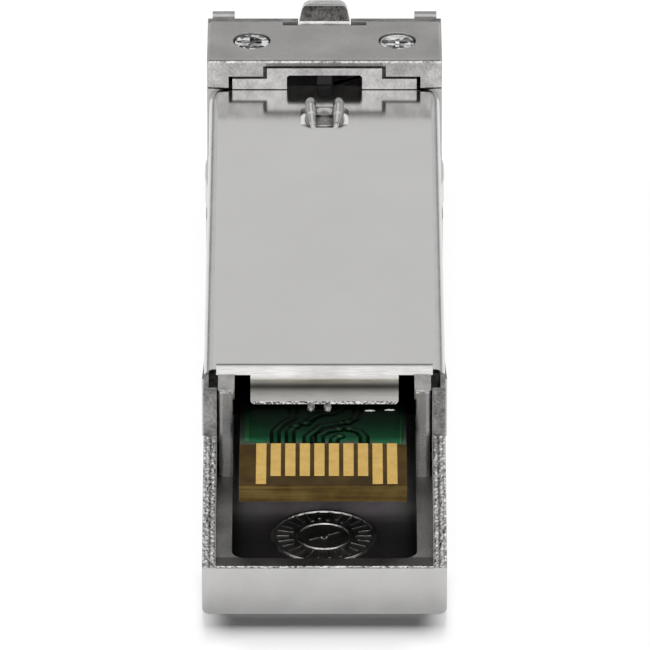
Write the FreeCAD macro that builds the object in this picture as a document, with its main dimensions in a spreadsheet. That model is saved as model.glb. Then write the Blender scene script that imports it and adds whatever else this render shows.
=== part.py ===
"""Parametric model of a small pluggable optical transceiver module.

The module lies on its label side with its latch side up. +X is across, +Y runs from the edge-connector end
to the nose, and +Z points away from the label side. Sizes are in millimetres. Distances along the module
count from its rear end, and the origin is under the middle of the module.
"""
import FreeCAD, Part
import os
import re

import Sketcher
from FreeCAD import Placement, Rotation, Vector

SIZES = {
    # Envelope that the host cage and connector fix
    "total_length": 56.5,
    "body_width": 13.4,
    "nose_step": 0.15,
    "body_height": 8.5,
    "stop_distance": 47.5,
    # Die-cast tray
    "floor_thick": 1.15,
    "bar_depth": 1.15,
    "ledge_height": 2.85,
    "ledge_width": 0.88,
    "skirt_wall": 0.74,
    "skirt_length": 10.5,
    "skirt_rise": 2.6,
    "step_thick": 0.45,
    "void_end": 16.0,
    "void_low": 6.0,
    "edge_round": 0.4,
    "trough_round": 0.8,
    "wide_start": 38.5,
    "wide_ramp": 0.9,
    "cheek_wall": 0.8,
    "nose_floor": 0.9,
    # Folded sheet cover
    "cover_thick": 0.25,
    "cover_clear": 0.03,
    "cover_start": 12.6,
    "cover_low": 4.3,
    "cover_bend": 0.6,
    "rear_bend": 0.7,
    "rear_flare": 0.1,
    "flare_length": 2.2,
    "cover_tongue": 0.55,
    "cover_tongue_gap": 0.6,
    "lip_height": 0.4,
    "lip_inset": 0.7,
    "lip_gap": 0.08,
    "flange_width": 8.22,
    "flange_gap": 0.18,
    "flange_kick": 0.22,
    "kick_height": 0.75,
    "window_first": 19.0,
    "window_second": 31.0,
    "window_length": 2.4,
    "window_height": 1.2,
    "window_low": 5.4,
    "window_clear": 0.1,
    "finger_centre": 40.2,
    "finger_length": 4.6,
    "finger_flat": 1.6,
    "finger_height": 1.6,
    "finger_low": 5.3,
    "finger_bulge": 0.18,
    # Circuit board and its contacts
    "board_thick": 1.0,
    "board_low": 5.25,
    "board_start": 3.2,
    "board_end": 35.0,
    "board_neck_end": 13.45,
    "board_neck_gap": 0.48,
    "board_shift": -0.08,
    "pad_pitch": 0.8,
    "pad_width": 0.57,
    "pad_thick": 0.04,
    "pad_end": 8.05,
    "pad_stagger": 0.2,
    "long_pad_start": 3.36,
    "short_pad_start": 4.28,
    # Frame that carries the board
    "rail_clear": 0.1,
    "rail_back": 0.26,
    "rail_start": 10.5,
    "rail_end": 37.4,
    "rail_cap_height": 0.6,
    "rail_cap_over": 0.1,
    "rail_cap_lip": 0.06,
    "rail_cap_round": 0.3,
    "bridge_length": 1.8,
    "bridge_height": 2.0,
    # Latch plate with its boss
    "plate_thick": 0.25,
    "plate_side_gap": 0.28,
    "plate_start": 40.6,
    "plate_end": 47.3,
    "boss_start": 42.7,
    "boss_length": 2.4,
    "boss_width": 2.09,
    "boss_rear_width": 1.45,
    "boss_height": 0.77,
    "prong_thick": 0.5,
    "prong_lead": 0.7,
    "prong_round": 0.35,
    "web_drop": 0.42,
    "web_step": 0.14,
    "hole_clear_side": 0.35,
    "hole_clear_rear": 0.15,
    "hole_front": 45.3,
    "hole_round": 0.65,
    # Nose cap and its screws
    "cap_gap": 0.12,
    "cap_height": 1.8,
    "cap_length": 6.0,
    "cap_edge": 0.18,
    "strip_length": 0.85,
    "strip_drop": 0.12,
    "strip_round": 0.25,
    "ear_inset": 0.28,
    "ear_width": 1.3,
    "ear_back": 0.25,
    "ear_length": 0.35,
    "ear_rise": 0.17,
    "ear_round": 0.2,
    "notch_length": 1.35,
    "notch_width": 4.9,
    "notch_wide_length": 0.75,
    "notch_tab_gap": 0.04,
    "pocket_length": 1.5,
    "screw_side": 2.6,
    "screw_from_stop": 2.62,
    "screw_head_width": 2.0,
    "screw_head_height": 0.5,
    "screw_head_gap": 0.1,
    "screw_shank_width": 1.2,
    "screw_shank_gap": 0.05,
    "screw_web": 1.2,
    "screw_bite": 0.85,
    "recess_width": 0.24,
    "recess_length": 1.2,
    "recess_depth": 0.28,
    # Release slider and its spring
    "slider_clear": 0.04,
    "slider_ear_wall": 1.26,
    "slider_ear_height": 0.7,
    "slider_ear_length": 1.4,
    "slider_head_width": 6.7,
    "slider_head_height": 1.38,
    "slider_body_width": 5.8,
    "slider_body_length": 4.35,
    "channel_gap": 0.15,
    "channel_side_gap": 0.22,
    "tunnel_width": 4.38,
    "tunnel_corner": 0.12,
    "tunnel_height": 0.93,
    "tunnel_length": 3.9,
    "tongue_width": 3.0,
    "tongue_low": 0.55,
    "tongue_thick": 0.5,
    "tab_start": 54.15,
    "tab_lean": 0.5,
    "tab_thick": 0.5,
    "tab_dish": 1.6,
    "tab_rise": 1.05,
    "tab_top_width": 2.5,
    "tab_round": 0.55,
    "post_width": 0.9,
    "post_height": 0.85,
    "post_thick": 0.3,
    "post_from_stop": 0.7,
    "spring_width": 0.8,
    "spring_wire": 0.14,
    "spring_turns": 6,
    # Duplex receptacle
    "block_start": 46.0,
    "block_back": 1.0,
    "block_inset": 0.2,
    "block_clear": 0.05,
    "port_wall": 0.525,
    "port_mid_wall": 1.55,
    "port_axis": 5.2,
    "port_slot_width": 2.8,
    "port_slot_floor": 0.5,
    "port_slot_length": 7.0,
    # Optical assemblies
    "barrel_nose_width": 2.9,
    "barrel_nose_length": 4.6,
    "optics_gap": 1.8,
    "barrel_flange_length": 1.0,
    "barrel_body_width": 4.0,
    "barrel_body_length": 3.0,
    "barrel_bore_gap": 0.05,
    "sleeve_width": 1.8,
    "ferrule_bore": 1.27,
    "sleeve_length": 4.2,
    "stub_length": 1.4,
    "can_header_length": 1.2,
    "can_cap_width": 3.8,
    "can_cap_length": 0.8,
    "flex_thick": 0.2,
    "flex_width": 2.8,
    "flex_drop": 1.8,
    "flex_overlap": 1.6,
    "clamp_side_gap": 0.08,
    "clamp_thick": 0.7,
    "clamp_gap": 0.05,
    # Parts on the board
    "driver_chip_size": 4.0,
    "driver_chip_start": 26.0,
    "driver_chip_thick": 0.85,
    "amplifier_chip_size": 3.0,
    "amplifier_chip_start": 26.5,
    "memory_chip_width": 4.4,
    "memory_chip_length": 3.0,
    "memory_chip_start": 18.0,
    "memory_chip_thick": 1.1,
    "chip_rail_gap": 0.48,
    "capacitor_length": 1.0,
    "capacitor_width": 0.5,
    "capacitor_height": 0.5,
    "capacitor_start": 16.0,
    "capacitor_pitch": 1.1,
    "resistor_height": 0.35,
    "resistor_start": 21.5,
}

CAPACITOR_COUNT = 6
RESISTOR_COUNT = 6
CONTACT_COUNT = 10
LONG_CONTACTS = (0, 8, 9)
WIRE_FLAT_COUNT = 4

UP = Vector(0, 0, 1)
ACROSS = Vector(1, 0, 0)
ALONG = Vector(0, 1, 0)

# Planes and faces that several pieces share
BODY_SIDE = "body_width / 2"
NOSE_SIDE = "(body_width / 2 + nose_step)"
SKIRT_IN = "(body_width / 2 - skirt_wall)"
LEDGE_IN = "(body_width / 2 - skirt_wall - ledge_width)"
WALL_OUT = "(body_width / 2 - cover_thick - cover_clear)"
WALL_TOP = "(body_height - cover_thick - cover_clear)"
COVER_UNDER = "(body_height - cover_thick)"
SIDE_STEP = "(cover_low - cover_clear)"
PLATE_LOW = "(body_height - cover_thick - cover_clear - plate_thick)"
CAP_LOW = "(body_height + cap_gap)"
CAP_TOP = "(body_height + cap_gap + cap_height)"
CAP_FRONT = "(stop_distance + cap_length)"
BOARD_TOP = "(board_low + board_thick)"
NECK_SIDE = f"({LEDGE_IN} - board_neck_gap)"
SLOT_SIDE = f"({SKIRT_IN} - rail_clear - rail_back)"
BOARD_SIDE = f"({SLOT_SIDE} - rail_clear)"
SLIDER_LOW = "(body_height + slider_clear)"
SLIDER_TOP = "(body_height + slider_head_height)"
SLIDER_EAR = f"({NOSE_SIDE} - slider_ear_wall - channel_side_gap)"
TONGUE_LOW = "(body_height + tongue_low)"
TONGUE_TOP = "(body_height + tongue_low + tongue_thick)"
BLOCK_SIDE = f"({NOSE_SIDE} - cheek_wall - block_clear)"
BLOCK_TOP = "(body_height - cover_clear)"
BLOCK_FRONT = "(total_length - block_inset)"
PORT_BACK = "(block_start + block_back)"
PORT_WIDTH = f"({BLOCK_SIDE} - port_wall - port_mid_wall / 2)"
PORT_PLACE = f"({PORT_WIDTH} / 2 + port_mid_wall / 2)"
OPTICS_WIDTH = f"(2 * {PORT_PLACE} - optics_gap)"
BARREL_BACK = "(block_start - barrel_flange_length - barrel_body_length)"
CAN_BACK = f"({BARREL_BACK} - can_cap_length - can_header_length)"
SCREW_SIDE = f"({NOSE_SIDE} - screw_side)"
SCREW_PLACE = "(stop_distance + screw_from_stop)"
SCREW_SEAT = "(body_height + cap_gap + screw_web)"
POST_FRONT = "(stop_distance + post_from_stop + post_thick)"
TUNNEL_END = "(stop_distance + tunnel_length)"

doc = FreeCAD.newDocument("TransceiverModule")
sheet = doc.addObject("Spreadsheet::Sheet", "Sizes")
for row, (size_name, size_value) in enumerate(SIZES.items(), start=1):
    sheet.set(f"A{row}", size_name)
    sheet.set(f"B{row}", str(size_value))
    sheet.setAlias(f"B{row}", size_name)
doc.recompute()

WORD = re.compile(r"[a-z_][a-z0-9_]*")
SAME_PLACE = 0.005


def formula(text):
    """Point each size's name in a formula at its cell."""
    return WORD.sub(lambda word: f"Sizes.{word[0]}" if word[0] in SIZES else word[0], text)


def number(text):
    """Work out a formula from the sheet as it stands."""
    return float(sheet.evalExpression(formula(text)))


def bind(target, prop, text):
    target.setExpression(prop, formula(text))


def along(text):
    """Turn a distance from the rear end into a Y place."""
    return f"({text}) - total_length / 2"


def minus(text):
    return f"-({text})"


def rect(left, right, low, high):
    return [(left, low), (right, low), (right, high), (left, high)]


def centred(half, low, high):
    return rect(minus(half), half, low, high)


def round_bottomed(half, high):
    """Section that stands on the label side, with that side's two edges rounded."""
    return [(minus(half), high), (minus(half), "edge_round", "edge_round"), (f"edge_round - {half}", "0"),
            (f"{half} - edge_round", "0", "edge_round"), (half, "edge_round"), (half, high)]


def both_sides(inner, outer, low, high):
    return [rect(inner, outer, low, high), rect(minus(outer), minus(inner), low, high)]


def mirrored(outline):
    """The same outline on the other side of the module."""
    return [(minus(x), y) for x, y in outline]


def new_body(name):
    body = doc.addObject("PartDesign::Body", name)
    body.Label = name
    return body


def arc_left(start, end, radius):
    """Arc that turns left from one point to another, as a piece of its circle."""
    chord = end - start
    rise = (radius ** 2 - chord.Length ** 2 / 4) ** 0.5
    centre = (start + end) / 2 + Vector(-chord.y, chord.x, 0).normalize() * rise
    circle = Part.Circle(centre, UP, radius)
    return Part.ArcOfCircle(circle, circle.parameter(start), circle.parameter(end))


def draw_outline(sketch, outline):
    """Closed outline with every corner held by its two distances from the origin.

    A corner is (x, y). A third formula there is the radius of an arc to the next corner: it turns left,
    or right where a minus sign leads.
    """
    first = sketch.GeometryCount
    corners = [Vector(number(corner[0]), number(corner[1]), 0) for corner in outline]
    count = len(corners)
    ends = []
    for index, corner in enumerate(outline):
        start = corners[index]
        end = corners[(index + 1) % count]
        ends.append((1, 2))
        if len(corner) == 2:
            sketch.addGeometry(Part.LineSegment(start, end))
            continue
        radius = number(corner[2].lstrip("-"))
        if corner[2].startswith("-"):
            start, end = end, start
            ends[-1] = (2, 1)
        sketch.addGeometry(arc_left(start, end, radius))
    for index in range(count):
        following = (index + 1) % count
        sketch.addConstraint(Sketcher.Constraint("Coincident", first + index, ends[index][1],
                                                 first + following, ends[following][0]))
    for index, corner in enumerate(outline):
        for kind, text in (("DistanceX", corner[0]), ("DistanceY", corner[1])):
            held = Sketcher.Constraint(kind, -1, 1, first + index, ends[index][0], number(text))
            bind(sketch, f"Constraints[{sketch.addConstraint(held)}]", text)
        if len(corner) == 3:
            text = corner[2].lstrip("-")
            held = Sketcher.Constraint("Radius", first + index, number(text))
            bind(sketch, f"Constraints[{sketch.addConstraint(held)}]", text)


def draw_circle(sketch, circle):
    x, y, radius = circle
    index = sketch.addGeometry(Part.Circle(Vector(number(x), number(y), 0), UP, number(radius)))
    held = [Sketcher.Constraint("DistanceX", -1, 1, index, 3, number(x)),
            Sketcher.Constraint("DistanceY", -1, 1, index, 3, number(y)),
            Sketcher.Constraint("Radius", index, number(radius))]
    for constraint, text in zip(held, (x, y, radius)):
        bind(sketch, f"Constraints[{sketch.addConstraint(constraint)}]", text)


def new_sketch(body, name, role, place, outlines):
    """Sketch on one of the body's own origin planes, moved along that plane's normal."""
    sketch = body.newObject("Sketcher::SketchObject", f"{body.Label}_{name}_sketch")
    plane = next(feature for feature in body.Origin.OriginFeatures if feature.Role == role)
    sketch.AttachmentSupport = [(plane, "")]
    sketch.MapMode = "FlatFace"
    bind(sketch, "AttachmentOffset.Base.z", place)
    for outline in outlines:
        if len(outline) == 3 and isinstance(outline, tuple):
            draw_circle(sketch, outline)
        else:
            draw_outline(sketch, outline)
    return sketch


def add_pad(body, name, role, place, length, outlines):
    pad = body.newObject("PartDesign::Pad", f"{body.Label}_{name}")
    pad.Profile = new_sketch(body, name, role, place, outlines)
    bind(pad, "Length", length)
    doc.recompute()
    return pad


def add_cut(body, name, role, place, length, outlines):
    before = body.Shape.Volume
    pocket = body.newObject("PartDesign::Pocket", f"{body.Label}_{name}")
    pocket.Profile = new_sketch(body, name, role, place, outlines)
    bind(pocket, "Length", length)
    doc.recompute()
    if not body.Shape.Volume < before:
        raise RuntimeError(f"{body.Label}: {name} cuts nothing")
    return pocket


def pad_along(body, name, outlines, start, end):
    """Cross-section (X, Z) run from one distance along the module to another."""
    return add_pad(body, name, "XZ_Plane", minus(along(end)), f"({end}) - ({start})", outlines)


def cut_along(body, name, outlines, start, end):
    return add_cut(body, name, "XZ_Plane", minus(along(start)), f"({end}) - ({start})", outlines)


def pad_up(body, name, outlines, low, high):
    """Plan outline (X, Y) run from one height to another."""
    return add_pad(body, name, "XY_Plane", low, f"({high}) - ({low})", outlines)


def cut_down(body, name, outlines, low, high):
    return add_cut(body, name, "XY_Plane", high, f"({high}) - ({low})", outlines)


def pad_across(body, name, outlines, left, right):
    """Side outline (Y, Z) run from one side place to another."""
    return add_pad(body, name, "YZ_Plane", left, f"({right}) - ({left})", outlines)


def cut_across(body, name, outlines, left, right):
    return add_cut(body, name, "YZ_Plane", right, f"({right}) - ({left})", outlines)


def runs(edge, direction):
    """Whether an edge is straight and parallel to a direction."""
    if edge.Curve.TypeId != "Part::GeomLine":
        return False
    return edge.Curve.Direction.cross(direction).Length < SAME_PLACE


def near(value, text):
    return abs(value - number(text)) < SAME_PLACE


def round_edges(body, name, radius, wanted):
    base = body.Tip
    edges = [f"Edge{index}" for index, edge in enumerate(base.Shape.Edges, start=1) if wanted(edge)]
    rounding = body.newObject("PartDesign::Fillet", f"{body.Label}_{name}")
    rounding.Base = (base, edges)
    bind(rounding, "Radius", radius)
    doc.recompute()
    return rounding


def break_edges(body, name, size, wanted):
    base = body.Tip
    edges = [f"Edge{index}" for index, edge in enumerate(base.Shape.Edges, start=1) if wanted(edge)]
    chamfer = body.newObject("PartDesign::Chamfer", f"{body.Label}_{name}")
    chamfer.Base = (base, edges)
    bind(chamfer, "Size", size)
    doc.recompute()
    return chamfer


def box(name, left, right, start, end, low, high):
    block = doc.addObject("Part::Box", name)
    block.Label = name
    bind(block, "Length", f"({right}) - ({left})")
    bind(block, "Width", f"({end}) - ({start})")
    bind(block, "Height", f"({high}) - ({low})")
    bind(block, "Placement.Base.x", left)
    bind(block, "Placement.Base.y", along(start))
    bind(block, "Placement.Base.z", low)
    return block


def rod_along(name, x, z, start, end, width):
    """Cylinder that lies along the module."""
    rod = doc.addObject("Part::Cylinder", name)
    rod.Placement = Placement(Vector(), Rotation(ACROSS, -90))
    bind(rod, "Radius", f"({width}) / 2")
    bind(rod, "Height", f"({end}) - ({start})")
    bind(rod, "Placement.Base.x", x)
    bind(rod, "Placement.Base.y", along(start))
    bind(rod, "Placement.Base.z", z)
    return rod


def rod_up(name, x, place, low, high, width):
    """Cylinder that stands on the module."""
    rod = doc.addObject("Part::Cylinder", name)
    bind(rod, "Radius", f"({width}) / 2")
    bind(rod, "Height", f"({high}) - ({low})")
    bind(rod, "Placement.Base.x", x)
    bind(rod, "Placement.Base.y", along(place))
    bind(rod, "Placement.Base.z", low)
    return rod


def fuse(name, pieces):
    union = doc.addObject("Part::MultiFuse", name)
    union.Label = name
    union.Shapes = pieces
    return union


def cut(name, base, tool):
    difference = doc.addObject("Part::Cut", name)
    difference.Label = name
    difference.Base = base
    difference.Tool = tool
    return difference


def group(name, pieces):
    """Several separate solids in one node."""
    compound = doc.addObject("Part::Compound", name)
    compound.Label = name
    compound.Links = pieces
    return compound


def make_main_housing():
    """Die-cast tray: end bar, ledges, sloping skirts, side walls and the cheeks of the nose."""
    body = new_body("main_housing")
    pad_along(body, "tray", [round_bottomed(BODY_SIDE, WALL_TOP)], "0", "stop_distance")
    pad_along(body, "nose", [round_bottomed(NOSE_SIDE, CAP_LOW)], "stop_distance", "total_length")
    cut_along(body, "ledges", [centred(SKIRT_IN, "ledge_height", CAP_LOW)], "0", "stop_distance")
    cut_along(body, "trough", [centred(LEDGE_IN, "floor_thick", CAP_LOW)], "bar_depth", "stop_distance")
    round_edges(body, "trough_corners", "trough_round",
                lambda e: runs(e, UP) and near(e.CenterOfMass.y, along("bar_depth")))
    slope = [(along("0"), "ledge_height"), (along("skirt_length"), "ledge_height + skirt_rise"),
             (along("skirt_length"), CAP_LOW), (along("0"), CAP_LOW)]
    cut_across(body, "skirts", [slope], minus(BODY_SIDE), BODY_SIDE)
    cut_along(body, "cover_seat", both_sides(WALL_OUT, NOSE_SIDE, SIDE_STEP, CAP_LOW),
              "cover_start - cover_clear", "stop_distance")
    cut_along(body, "rear_voids", both_sides(SKIRT_IN, WALL_OUT, "void_low", CAP_LOW),
              "skirt_length + step_thick", "void_end")
    cut_along(body, "block_seat", [centred(f"{BLOCK_SIDE} + block_clear", "nose_floor", CAP_LOW)],
              "block_start", "total_length")
    mid_wall = f"({SKIRT_IN} + {BODY_SIDE}) / 2"
    wide = [(mid_wall, along("wide_start")), (BODY_SIDE, along("wide_start")),
            (NOSE_SIDE, along("wide_start + wide_ramp")), (NOSE_SIDE, along("stop_distance")),
            (mid_wall, along("stop_distance"))]
    pad_up(body, "wide_sides", [wide, mirrored(wide)], "edge_round", SIDE_STEP)
    for name, place in (("first", "window_first"), ("second", "window_second")):
        catch = both_sides(f"({SKIRT_IN} + {WALL_OUT}) / 2", BODY_SIDE, "window_low + window_clear",
                           "window_low + window_height - window_clear")
        half = "(window_length / 2 - window_clear)"
        pad_along(body, f"{name}_catches", catch, f"{place} - {half}", f"{place} + {half}")
    return body


def make_bottom_cover():
    """Folded sheet with a rolled rear edge and kicked flange, the latch hole, side windows and fingers."""
    body = new_body("bottom_cover")
    sheet_end = "(stop_distance - cover_clear)"
    inner = f"({BODY_SIDE} - cover_thick)"
    pad_along(body, "blank", [centred(BODY_SIDE, "cover_low", "body_height")], "cover_start", sheet_end)
    round_edges(body, "outer_bends", "cover_bend",
                lambda e: runs(e, ALONG) and near(e.CenterOfMass.z, "body_height"))
    cut_along(body, "inside", [centred(inner, "cover_low", COVER_UNDER)], "cover_start", sheet_end)
    lip_side = f"({BODY_SIDE} - lip_inset)"
    bend_end = "cover_start + rear_bend"
    bend_low = "(body_height - rear_bend)"
    cut_down(body, "rear_edge", [centred(lip_side, along("cover_start"), along(bend_end))], COVER_UNDER,
             "body_height")
    roll = [(along("cover_start"), bend_low, "-rear_bend"), (along(bend_end), "body_height"),
            (along(bend_end), COVER_UNDER, "rear_bend - cover_thick"),
            (along("cover_start + cover_thick"), bend_low)]
    pad_across(body, "rear_roll", [roll], minus(lip_side), lip_side)
    shoulders = both_sides("flange_width / 2", lip_side, bend_low, "body_height - lip_height")
    cut_along(body, "shoulders", shoulders, "cover_start", bend_end)
    flange_low = f"({BOARD_TOP} + flange_gap)"
    kick_high = f"({flange_low} + kick_height)"
    flange = [(along("cover_start"), bend_low), (along("cover_start"), kick_high),
              (along("cover_start - flange_kick"), flange_low),
              (along("cover_start - flange_kick + cover_thick"), flange_low),
              (along("cover_start + cover_thick"), kick_high), (along("cover_start + cover_thick"), bend_low)]
    pad_across(body, "flange", [flange], "-flange_width / 2", "flange_width / 2")
    flare = [(f"{BODY_SIDE} - cover_thick / 2", along("cover_start")),
             (f"{BODY_SIDE} + rear_flare", along("cover_start")),
             (BODY_SIDE, along("cover_start + flare_length")),
             (f"{BODY_SIDE} - cover_thick / 2", along("cover_start + flare_length"))]
    pad_up(body, "rear_flares", [flare, mirrored(flare)], "cover_low", "body_height - cover_bend")
    tongue = centred(f"{BLOCK_SIDE} - cover_tongue_gap", COVER_UNDER, "body_height")
    pad_along(body, "front_tongue", [tongue], sheet_end, "stop_distance + cover_tongue")
    hole_side = "boss_width / 2 + hole_clear_side"
    hole = centred(hole_side, along("boss_start - hole_clear_rear"), along("hole_front"))
    cut_down(body, "latch_hole", [hole], COVER_UNDER, "body_height")
    round_edges(body, "hole_corners", "hole_round",
                lambda e: runs(e, UP) and near(abs(e.CenterOfMass.x), hole_side))
    half = "window_length / 2"
    windows = [rect(along(f"{place} - {half}"), along(f"{place} + {half}"), "window_low",
                    "window_low + window_height") for place in ("window_first", "window_second")]
    cut_across(body, "windows", windows, minus(BODY_SIDE), BODY_SIDE)
    finger = [(f"{BODY_SIDE} - cover_thick / 2", along("finger_centre - finger_length / 2")),
              (BODY_SIDE, along("finger_centre - finger_length / 2")),
              (f"{BODY_SIDE} + finger_bulge", along("finger_centre - finger_flat / 2")),
              (f"{BODY_SIDE} + finger_bulge", along("finger_centre + finger_flat / 2")),
              (BODY_SIDE, along("finger_centre + finger_length / 2")),
              (f"{BODY_SIDE} - cover_thick / 2", along("finger_centre + finger_length / 2"))]
    pad_up(body, "side_fingers", [finger, mirrored(finger)], "finger_low", "finger_low + finger_height")
    return body


def make_board_carrier():
    """Two rails that stand on the ledges, hold the board's edges and meet in a bridge at the front."""
    body = new_body("board_carrier")
    outer = f"({SKIRT_IN} - rail_clear)"
    bridge_start = "(rail_end - bridge_length)"
    pad_along(body, "bridge", [centred(outer, "ledge_height", "ledge_height + bridge_height")],
              bridge_start, "rail_end")
    rails = both_sides(LEDGE_IN, outer, "ledge_height", "body_height - lip_height - lip_gap")
    pad_along(body, "rails", rails, "rail_start", "rail_end")
    caps = both_sides(f"{LEDGE_IN} - rail_cap_over", f"{SKIRT_IN} - rail_cap_lip",
                      f"{WALL_TOP} - rail_cap_height", WALL_TOP)
    pad_along(body, "caps", caps, "rail_start", "cover_start - lip_gap")
    round_edges(body, "cap_corners", "rail_cap_round",
                lambda e: runs(e, UP) and near(e.CenterOfMass.y, along("rail_start"))
                and near(e.CenterOfMass.z, f"{WALL_TOP} - rail_cap_height / 2"))
    slots = both_sides(NECK_SIDE, SLOT_SIDE, "board_low", BOARD_TOP)
    cut_along(body, "board_slots", slots, "board_neck_end - rail_clear", "board_end + rail_clear")
    return body


def make_circuit_board():
    """Laminate with a narrow tongue for the host connector."""
    body = new_body("circuit_board")
    left, right = (f"board_shift {sign} {BOARD_SIDE}" for sign in "-+")
    neck_left, neck_right = (f"board_shift {sign} {NECK_SIDE}" for sign in "-+")
    rear = along("board_start")
    shoulder = along("board_neck_end")
    front = along("board_end")
    outline = [(neck_left, rear), (neck_right, rear), (neck_right, shoulder), (right, shoulder),
               (right, front), (left, front), (left, shoulder), (neck_left, shoulder)]
    pad_up(body, "laminate", [outline], "board_low", BOARD_TOP)
    return body


def make_contacts(name, low, high, stagger):
    """One row of contact pads, the power and ground ones longer."""
    pads = []
    for index in range(CONTACT_COUNT):
        middle = f"board_shift + {stagger} + {index - (CONTACT_COUNT - 1) / 2} * pad_pitch"
        start = "long_pad_start" if index in LONG_CONTACTS else "short_pad_start"
        pads.append(box(f"{name}_{index + 1}", f"{middle} - pad_width / 2", f"{middle} + pad_width / 2",
                        start, "pad_end", low, high))
    return group(name, pads)


def make_latch_plate():
    """Stamped plate under the cover, with a boss of two prongs and the ramp between them."""
    body = new_body("latch_plate")
    top = WALL_TOP
    boss_end = "(boss_start + boss_length)"
    boss_top = "(body_height + boss_height)"
    lead_start = f"({boss_end} - prong_lead)"
    half = "boss_width / 2"
    rear_half = "boss_rear_width / 2"
    plate = [centred(f"({LEDGE_IN} - plate_side_gap)", PLATE_LOW, top)]
    pad_along(body, "plate", plate, "plate_start", "plate_end")
    prong = [(along("boss_start"), top), (along(boss_end), top), (along(boss_end), boss_top),
             (along(lead_start), boss_top), (along("boss_start"), "body_height")]
    pad_across(body, "boss", [prong], minus(half), half)
    flank = [(half, along("boss_start")), (half, along(lead_start)), (rear_half, along("boss_start"))]
    cut_down(body, "prong_flanks", [flank, mirrored(flank)], top, boss_top)
    gap = centred(f"({half} - prong_thick)", along("boss_start"), along(boss_end))
    cut_down(body, "prong_gap", [gap], top, boss_top)
    round_edges(body, "prong_tops", "prong_round",
                lambda e: runs(e, ACROSS) and near(e.CenterOfMass.z, boss_top))
    web_top = f"({boss_top} - web_drop)"
    ramp = [(along("boss_start"), top), (along(boss_end), top), (along(boss_end), web_top),
            (along(lead_start), web_top), (along(lead_start), f"{web_top} - web_step"),
            (along("boss_start"), "body_height")]
    pad_across(body, "ramp", [ramp], f"-{half} + prong_thick", f"{half} - prong_thick")
    return body


def make_nose_cap():
    """Cast cap with a low front strip, the slider's channel, the tab's notch, two ears and screw seats."""
    body = new_body("nose_cap")
    ear_roof = "body_height + slider_ear_height + channel_gap"
    head_roof = f"{SLIDER_TOP} + channel_gap"
    pocket_end = "(stop_distance + pocket_length)"
    body_end = "(stop_distance + slider_body_length + slider_clear)"
    strip_top = f"({CAP_TOP} - strip_drop)"
    ear_top = f"({CAP_TOP} + ear_rise)"
    pad_along(body, "block", [centred(NOSE_SIDE, CAP_LOW, CAP_TOP)], "stop_distance", CAP_FRONT)
    cut_along(body, "front_strip", [centred(NOSE_SIDE, strip_top, CAP_TOP)], f"{CAP_FRONT} - strip_length",
              CAP_FRONT)
    round_edges(body, "strip_edge", "strip_round",
                lambda e: runs(e, ACROSS) and near(e.CenterOfMass.z, strip_top)
                and near(e.CenterOfMass.y, along(CAP_FRONT)))
    break_edges(body, "top_edges", "cap_edge",
                lambda e: near(e.CenterOfMass.z, CAP_TOP) and (
                    near(abs(e.CenterOfMass.x), NOSE_SIDE) or near(e.CenterOfMass.y, along("stop_distance"))))
    ear_out = f"{NOSE_SIDE} - ear_inset"
    ears = both_sides(f"{ear_out} - ear_width", ear_out, CAP_LOW, ear_top)
    pad_along(body, "ears", ears, f"{CAP_FRONT} - ear_back", f"{CAP_FRONT} + ear_length")
    round_edges(body, "ear_tops", "ear_round", lambda e: runs(e, ACROSS) and near(e.CenterOfMass.z, ear_top))
    for name, half, roof, end in (("ear_pocket", SLIDER_EAR, ear_roof, pocket_end),
                                  ("head_pocket", "slider_head_width / 2", head_roof, pocket_end),
                                  ("body_channel", "slider_body_width / 2", head_roof, body_end)):
        cut_along(body, name, [centred(f"({half} + channel_side_gap)", CAP_LOW, roof)], "stop_distance", end)
    cut_along(body, "tongue_channel", [centred("notch_width / 2", CAP_LOW, head_roof)],
              "stop_distance", CAP_FRONT)
    notch_back = f"{CAP_FRONT} - notch_length"
    wide = centred("notch_width / 2", along(notch_back), along(f"{notch_back} + notch_wide_length"))
    cut_down(body, "wide_notch", [wide], CAP_LOW, CAP_TOP)
    way = centred("tongue_width / 2 + notch_tab_gap", along(notch_back), along(CAP_FRONT))
    cut_down(body, "tab_way", [way], CAP_LOW, CAP_TOP)
    places = [(x, along(SCREW_PLACE)) for x in (minus(SCREW_SIDE), SCREW_SIDE)]
    seat = "screw_head_width / 2 + screw_head_gap"
    hole = "screw_shank_width / 2 + screw_shank_gap"
    cut_down(body, "screw_seats", [(x, y, seat) for x, y in places], SCREW_SEAT, CAP_TOP)
    cut_down(body, "screw_holes", [(x, y, hole) for x, y in places], CAP_LOW, SCREW_SEAT)
    return body


def make_nose_screws():
    """Two cap screws with cross recesses."""
    screws = []
    head_top = f"{SCREW_SEAT} + screw_head_height"
    for side, x in (("left", minus(SCREW_SIDE)), ("right", SCREW_SIDE)):
        name = f"{side}_nose_screw"
        head = rod_up(f"{name}_head", x, SCREW_PLACE, SCREW_SEAT, head_top, "screw_head_width")
        shank = rod_up(f"{name}_shank", x, SCREW_PLACE, f"{BLOCK_TOP} - screw_bite", SCREW_SEAT,
                       "screw_shank_width")
        long_way = ("recess_length / 2", "recess_width / 2")
        cross_way = ("recess_width / 2", "recess_length / 2")
        arms = [box(f"{name}_recess_{label}", f"{x} - {across}", f"{x} + {across}",
                    f"{SCREW_PLACE} - {reach}", f"{SCREW_PLACE} + {reach}",
                    f"{head_top} - recess_depth", head_top)
                for label, (across, reach) in (("across", long_way), ("along", cross_way))]
        blank = fuse(f"{name}_blank", [head, shank])
        screws.append(cut(name, blank, fuse(f"{name}_recess", arms)))
    return group("nose_screws", screws)


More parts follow.
